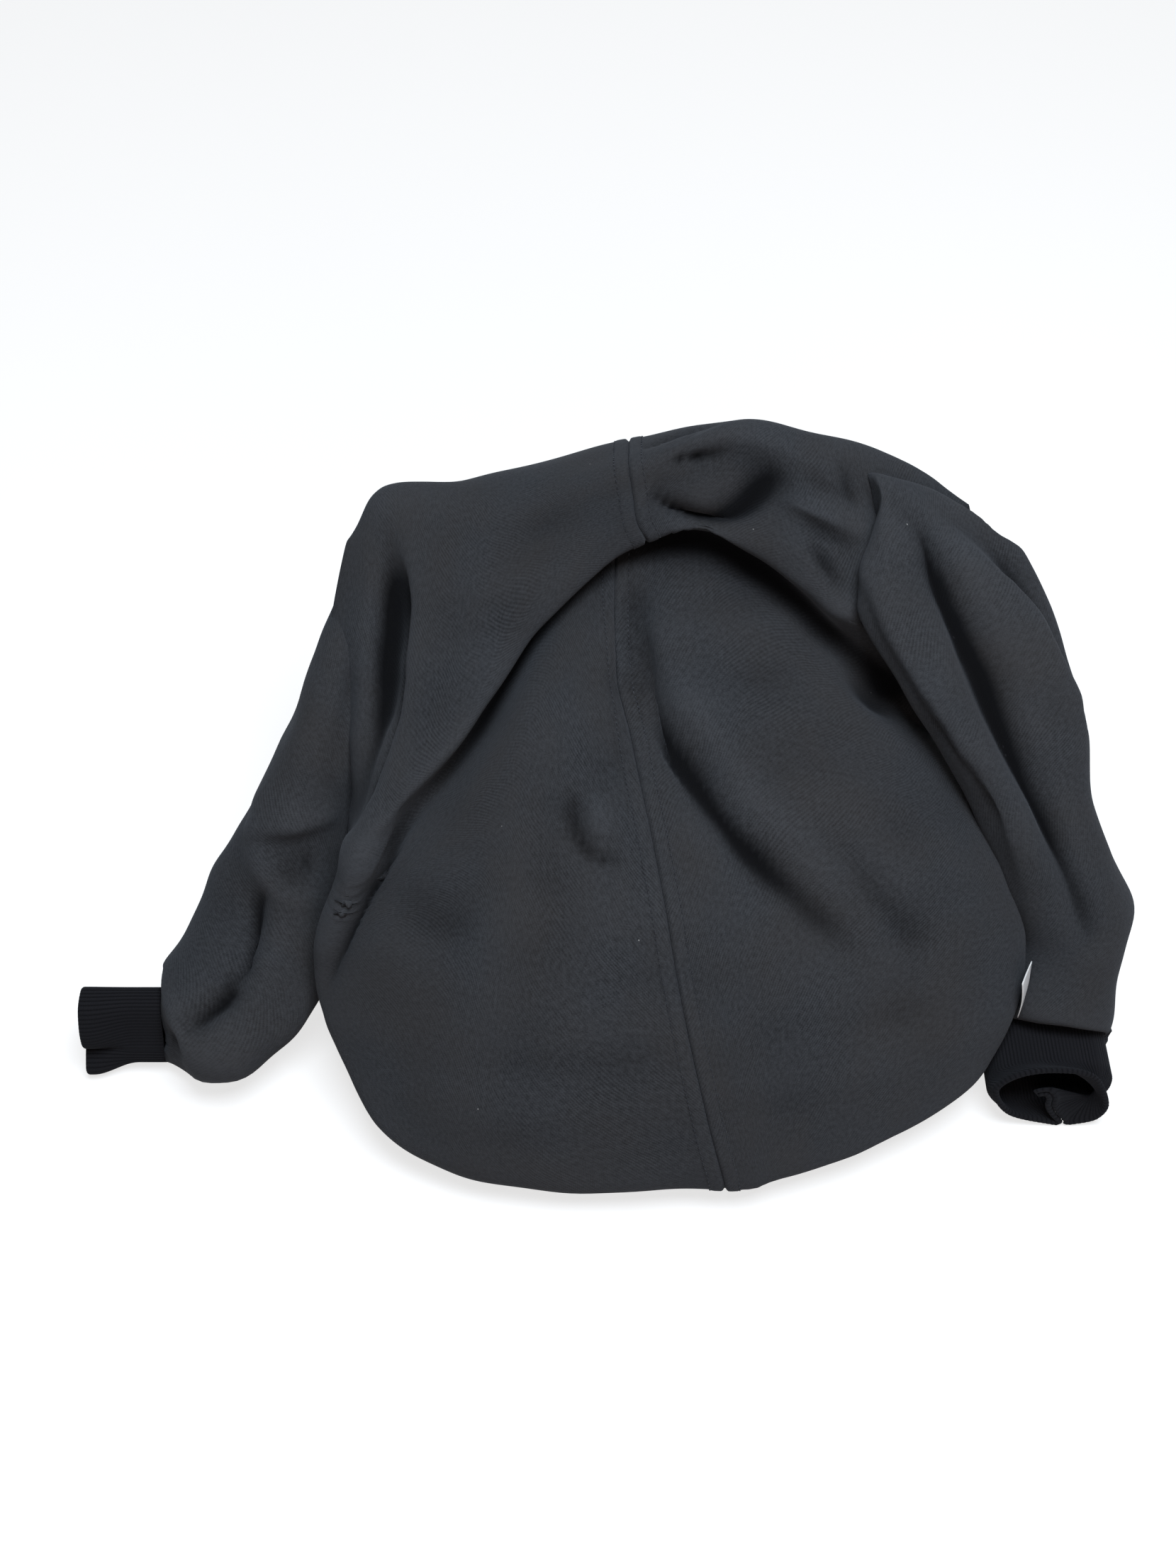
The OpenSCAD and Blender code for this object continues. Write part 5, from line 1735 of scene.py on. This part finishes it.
@dataclass
class Zip:
    """A zip: two woven tapes, two rows of coil, stops, a slider and its pull."""

    kit: Kit
    name: str
    middle: tuple
    chain: float
    turn_pitch: float = 1.25

    def tape(self, which: str, side: int) -> None:
        """A woven tape with its thicker edge beside the coil."""
        x, y, z = np.array(self.middle) + SHIFT
        inner = y + side * COIL_LANE / 2
        outer = y + side * (COIL_LANE / 2 + TAPE_WIDTH)
        top = z + TAPE / 2
        section = [(inner, top), (inner + side * 2, top), (inner + side * 2.6, top - 0.05),
                   ((inner + outer) / 2, top - 0.05), (outer - side, top - 0.05), (outer, top)]
        length = self.chain + 2 * TAPE_TAIL
        grid = swept_strip(section, x - length / 2, length, 2.0)
        grid = grid if side > 0 else grid[::-1]
        piece = sheet_object(f"{self.name}_zip_tape_{which}", grid, 0.5)
        finish_piece(piece, self.kit["zip_tape_weave"], [f"{self.name}_tape_{which}"])

    def coil(self, which: str, side: int) -> None:
        """A row of nylon coil, wound beside the lane."""
        x, y, z = np.array(self.middle) + SHIFT
        turns = round(self.chain / self.turn_pitch)
        steps = turns * 9
        t = np.linspace(0, turns, steps + 1)
        centre_y = y + side * (COIL_LANE + COIL_SIDE) / 2
        path = np.stack([
            x - self.chain / 2 + 0.3 + t * (self.chain - 0.6) / turns,
            centre_y + (COIL_SIDE / 2 - 0.32) * np.cos(2 * math.pi * t),
            z + TAPE / 2 + COIL_SIDE / 2 + (COIL_SIDE / 2 - 0.32) * np.sin(2 * math.pi * t)], 1)
        way = np.gradient(path, axis=0)
        way /= np.linalg.norm(way, axis=1, keepdims=True)
        middle = path.copy()
        middle[:, 1:] = centre_y, z + TAPE / 2 + COIL_SIDE / 2
        out = path - middle
        out /= np.linalg.norm(out, axis=1, keepdims=True)
        across = np.cross(way, out)
        a = np.linspace(0, 2 * math.pi, 6)
        wire = 0.3
        grid = (path[None] + wire * np.cos(a)[:, None, None] * out[None]
                + wire * np.sin(a)[:, None, None] * across[None])
        bm = bmesh.new()
        place_grid(bm, grid, measured(grid))
        bmesh.ops.remove_doubles(bm, verts=bm.verts[:], dist=1e-7)
        bmesh.ops.holes_fill(bm, edges=[e for e in bm.edges if e.is_boundary], sides=8)
        bmesh.ops.recalc_face_normals(bm, faces=bm.faces[:])
        piece = add_object(f"{self.name}_zip_coil_{which}", bm)
        finish_piece(piece, self.kit["nylon_coil"], [f"{self.name}_coil_{which}"])

    def build(self) -> None:
        """Makes the tapes and coils, and finishes the metal parts."""
        for which, side in (("front", -1), ("rear", 1)):
            self.tape(which, side)
            self.coil(which, side)
        finishes = {"zip_stops": "stop_metal", "slider": "lacquered_metal", "pull": "lacquered_metal"}
        for part, finish in finishes.items():
            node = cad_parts[f"{self.name}_{part}"]
            node.data.materials.clear()
            node.data.materials.append(self.kit[finish])


# ---- Studio ------------------------------------------------------------------------------------------


@dataclass
class Studio:
    """A plain pale floor, soft lamps and the camera."""

    target: tuple = (-0.0073, -0.0038, 0.08)
    distance: float = 1.0
    elevation: float = 45.0
    lens: float = 52.0

    def camera(self) -> None:
        """Places the camera in front of the bag and above it."""
        data = bpy.data.cameras.new("camera")
        data.lens = self.lens
        data.sensor_width = 36.0
        data.sensor_fit = "AUTO"
        data.clip_start = 0.01
        eye = bpy.data.objects.new("camera", data)
        bpy.context.scene.collection.objects.link(eye)
        rise_angle = math.radians(self.elevation)
        away = Vector((0, -math.cos(rise_angle), math.sin(rise_angle)))
        eye.location = Vector(self.target) + away * self.distance
        eye.rotation_euler = (-away).to_track_quat("-Z", "Y").to_euler()
        bpy.context.scene.camera = eye

    def lamp(self, name: str, place: tuple, size: float, power: float, colour: Colour) -> None:
        """A soft square lamp that points at the bag."""
        data = bpy.data.lights.new(name, "AREA")
        data.size = size
        data.energy = power
        data.color = colour
        lamp = bpy.data.objects.new(name, data)
        bpy.context.scene.collection.objects.link(lamp)
        lamp.location = place
        lamp.rotation_euler = (Vector(self.target) - Vector(place)).to_track_quat("-Z", "Y").to_euler()

    def seen(self, nodes: Nodes) -> bpy.types.NodeSocket:
        """1 on what the camera sees, directly, mirrored or through something."""
        path = nodes.add("ShaderNodeLightPath")
        return nodes.math("MAXIMUM", path.outputs["Is Camera Ray"], nodes.math(
            "MAXIMUM", path.outputs["Is Glossy Ray"], path.outputs["Is Transmission Ray"]))

    def seen_white(self, nodes: Nodes, shader: bpy.types.NodeSocket, strength: float) -> bpy.types.NodeSocket:
        """Adds plain white to a surface for what the camera sees, directly or mirrored."""
        seen = self.seen(nodes)
        light = nodes.math("MULTIPLY", seen, strength)
        glow = nodes.add("ShaderNodeEmission", in_Color=(1, 1, 1, 1), in_Strength=light)
        return nodes.add("ShaderNodeAddShader", in_0=shader, in_1=glow.outputs[0]).outputs[0]

    def floor(self) -> None:
        """A wide pale floor that keeps the bag's shadow."""
        bm = bmesh.new()
        bmesh.ops.create_grid(bm, x_segments=1, y_segments=1, size=6.0)
        ground = add_object("floor", bm)
        material, nodes, shader = start_material("pale_floor")
        shader.inputs["Base Color"].default_value = (0.4, 0.4, 0.4, 1)
        shader.inputs["Roughness"].default_value = 0.9
        shader.inputs["Specular IOR Level"].default_value = 0.0
        out = material.node_tree.nodes["Material Output"]
        nodes.feed(out.inputs["Surface"], self.seen_white(nodes, shader.outputs[0], 0.72))
        ground.data.materials.append(material)

    def world(self) -> None:
        """An even pale surrounding light."""
        world = bpy.data.worlds.new("studio")
        bpy.context.scene.world = world
        world.use_nodes = True
        nodes = Nodes(world.node_tree)
        seen = self.seen(nodes)
        shader = world.node_tree.nodes["Background"]
        shader.inputs["Color"].default_value = (1, 1, 1, 1)
        nodes.feed(shader.inputs["Strength"], nodes.level(seen, 0, 1, 0.08, 1.0))

    def build(self) -> None:
        """Makes the whole studio."""
        self.camera()
        self.floor()
        self.world()
        self.lamp("key_lamp", (0.2, -0.55, 1.8), 0.9, 36.0, (0.86, 0.93, 1.0))
        self.lamp("fill_lamp", (0.4, -1.9, 0.6), 0.8, 7.0, (1.0, 0.8, 0.7))
        bpy.context.scene.view_settings.view_transform = "Standard"


def make_bag(kit: Kit) -> OuterBag:
    """The outer bag with its folds."""
    return OuterBag(kit, folds=(*LEFT_DRAPE, *LEFT_FRONT, *RIGHT_FRONT, *RIGHT_DRAPE))


def make_sleeves(kit: Kit, bag: OuterBag) -> list[Sleeve]:
    """Both sleeves with their folds."""
    left = Sleeve(
        kit, bag, Side.LEFT, bag.left_hole, LEFT_RINGS, (-0.3, -0.72, -0.62),
        (-225 + SHIFT[0], -95 + SHIFT[1], 21), LEFT_CUFF_OUTLINE, LEFT_MOUTH_OUTLINE, "cotton_knit_left",
        (*LEFT_DRAPE, *LEFT_SLEEVE_ONLY))
    right = Sleeve(
        kit, bag, Side.RIGHT, bag.right_hole, RIGHT_RINGS, (0.36, -0.72, -0.6),
        (187 + SHIFT[0], -134 + SHIFT[1], 20), RIGHT_CUFF_OUTLINE, RIGHT_MOUTH_OUTLINE, "cotton_knit_right",
        RIGHT_DRAPE, 0.15, (0.5, 9.0))
    return [left, right]


def main() -> None:
    """Builds the bag, then the studio."""
    logging.basicConfig(level=logging.INFO, format="%(name)s: %(message)s")
    Studio().build()
    kit = Kit().build()
    bag = make_bag(kit)
    bag.build()
    InnerBag(kit, folds=RIGHT_FRONT[:1]).build()
    for sleeve in make_sleeves(kit, bag):
        sleeve.build()
    Zip(kit, "outer", OUTER_ZIP, OUTER_CHAIN).build()
    Zip(kit, "inner", INNER_ZIP, INNER_CHAIN).build()


if __name__ == "__main__":
    main()
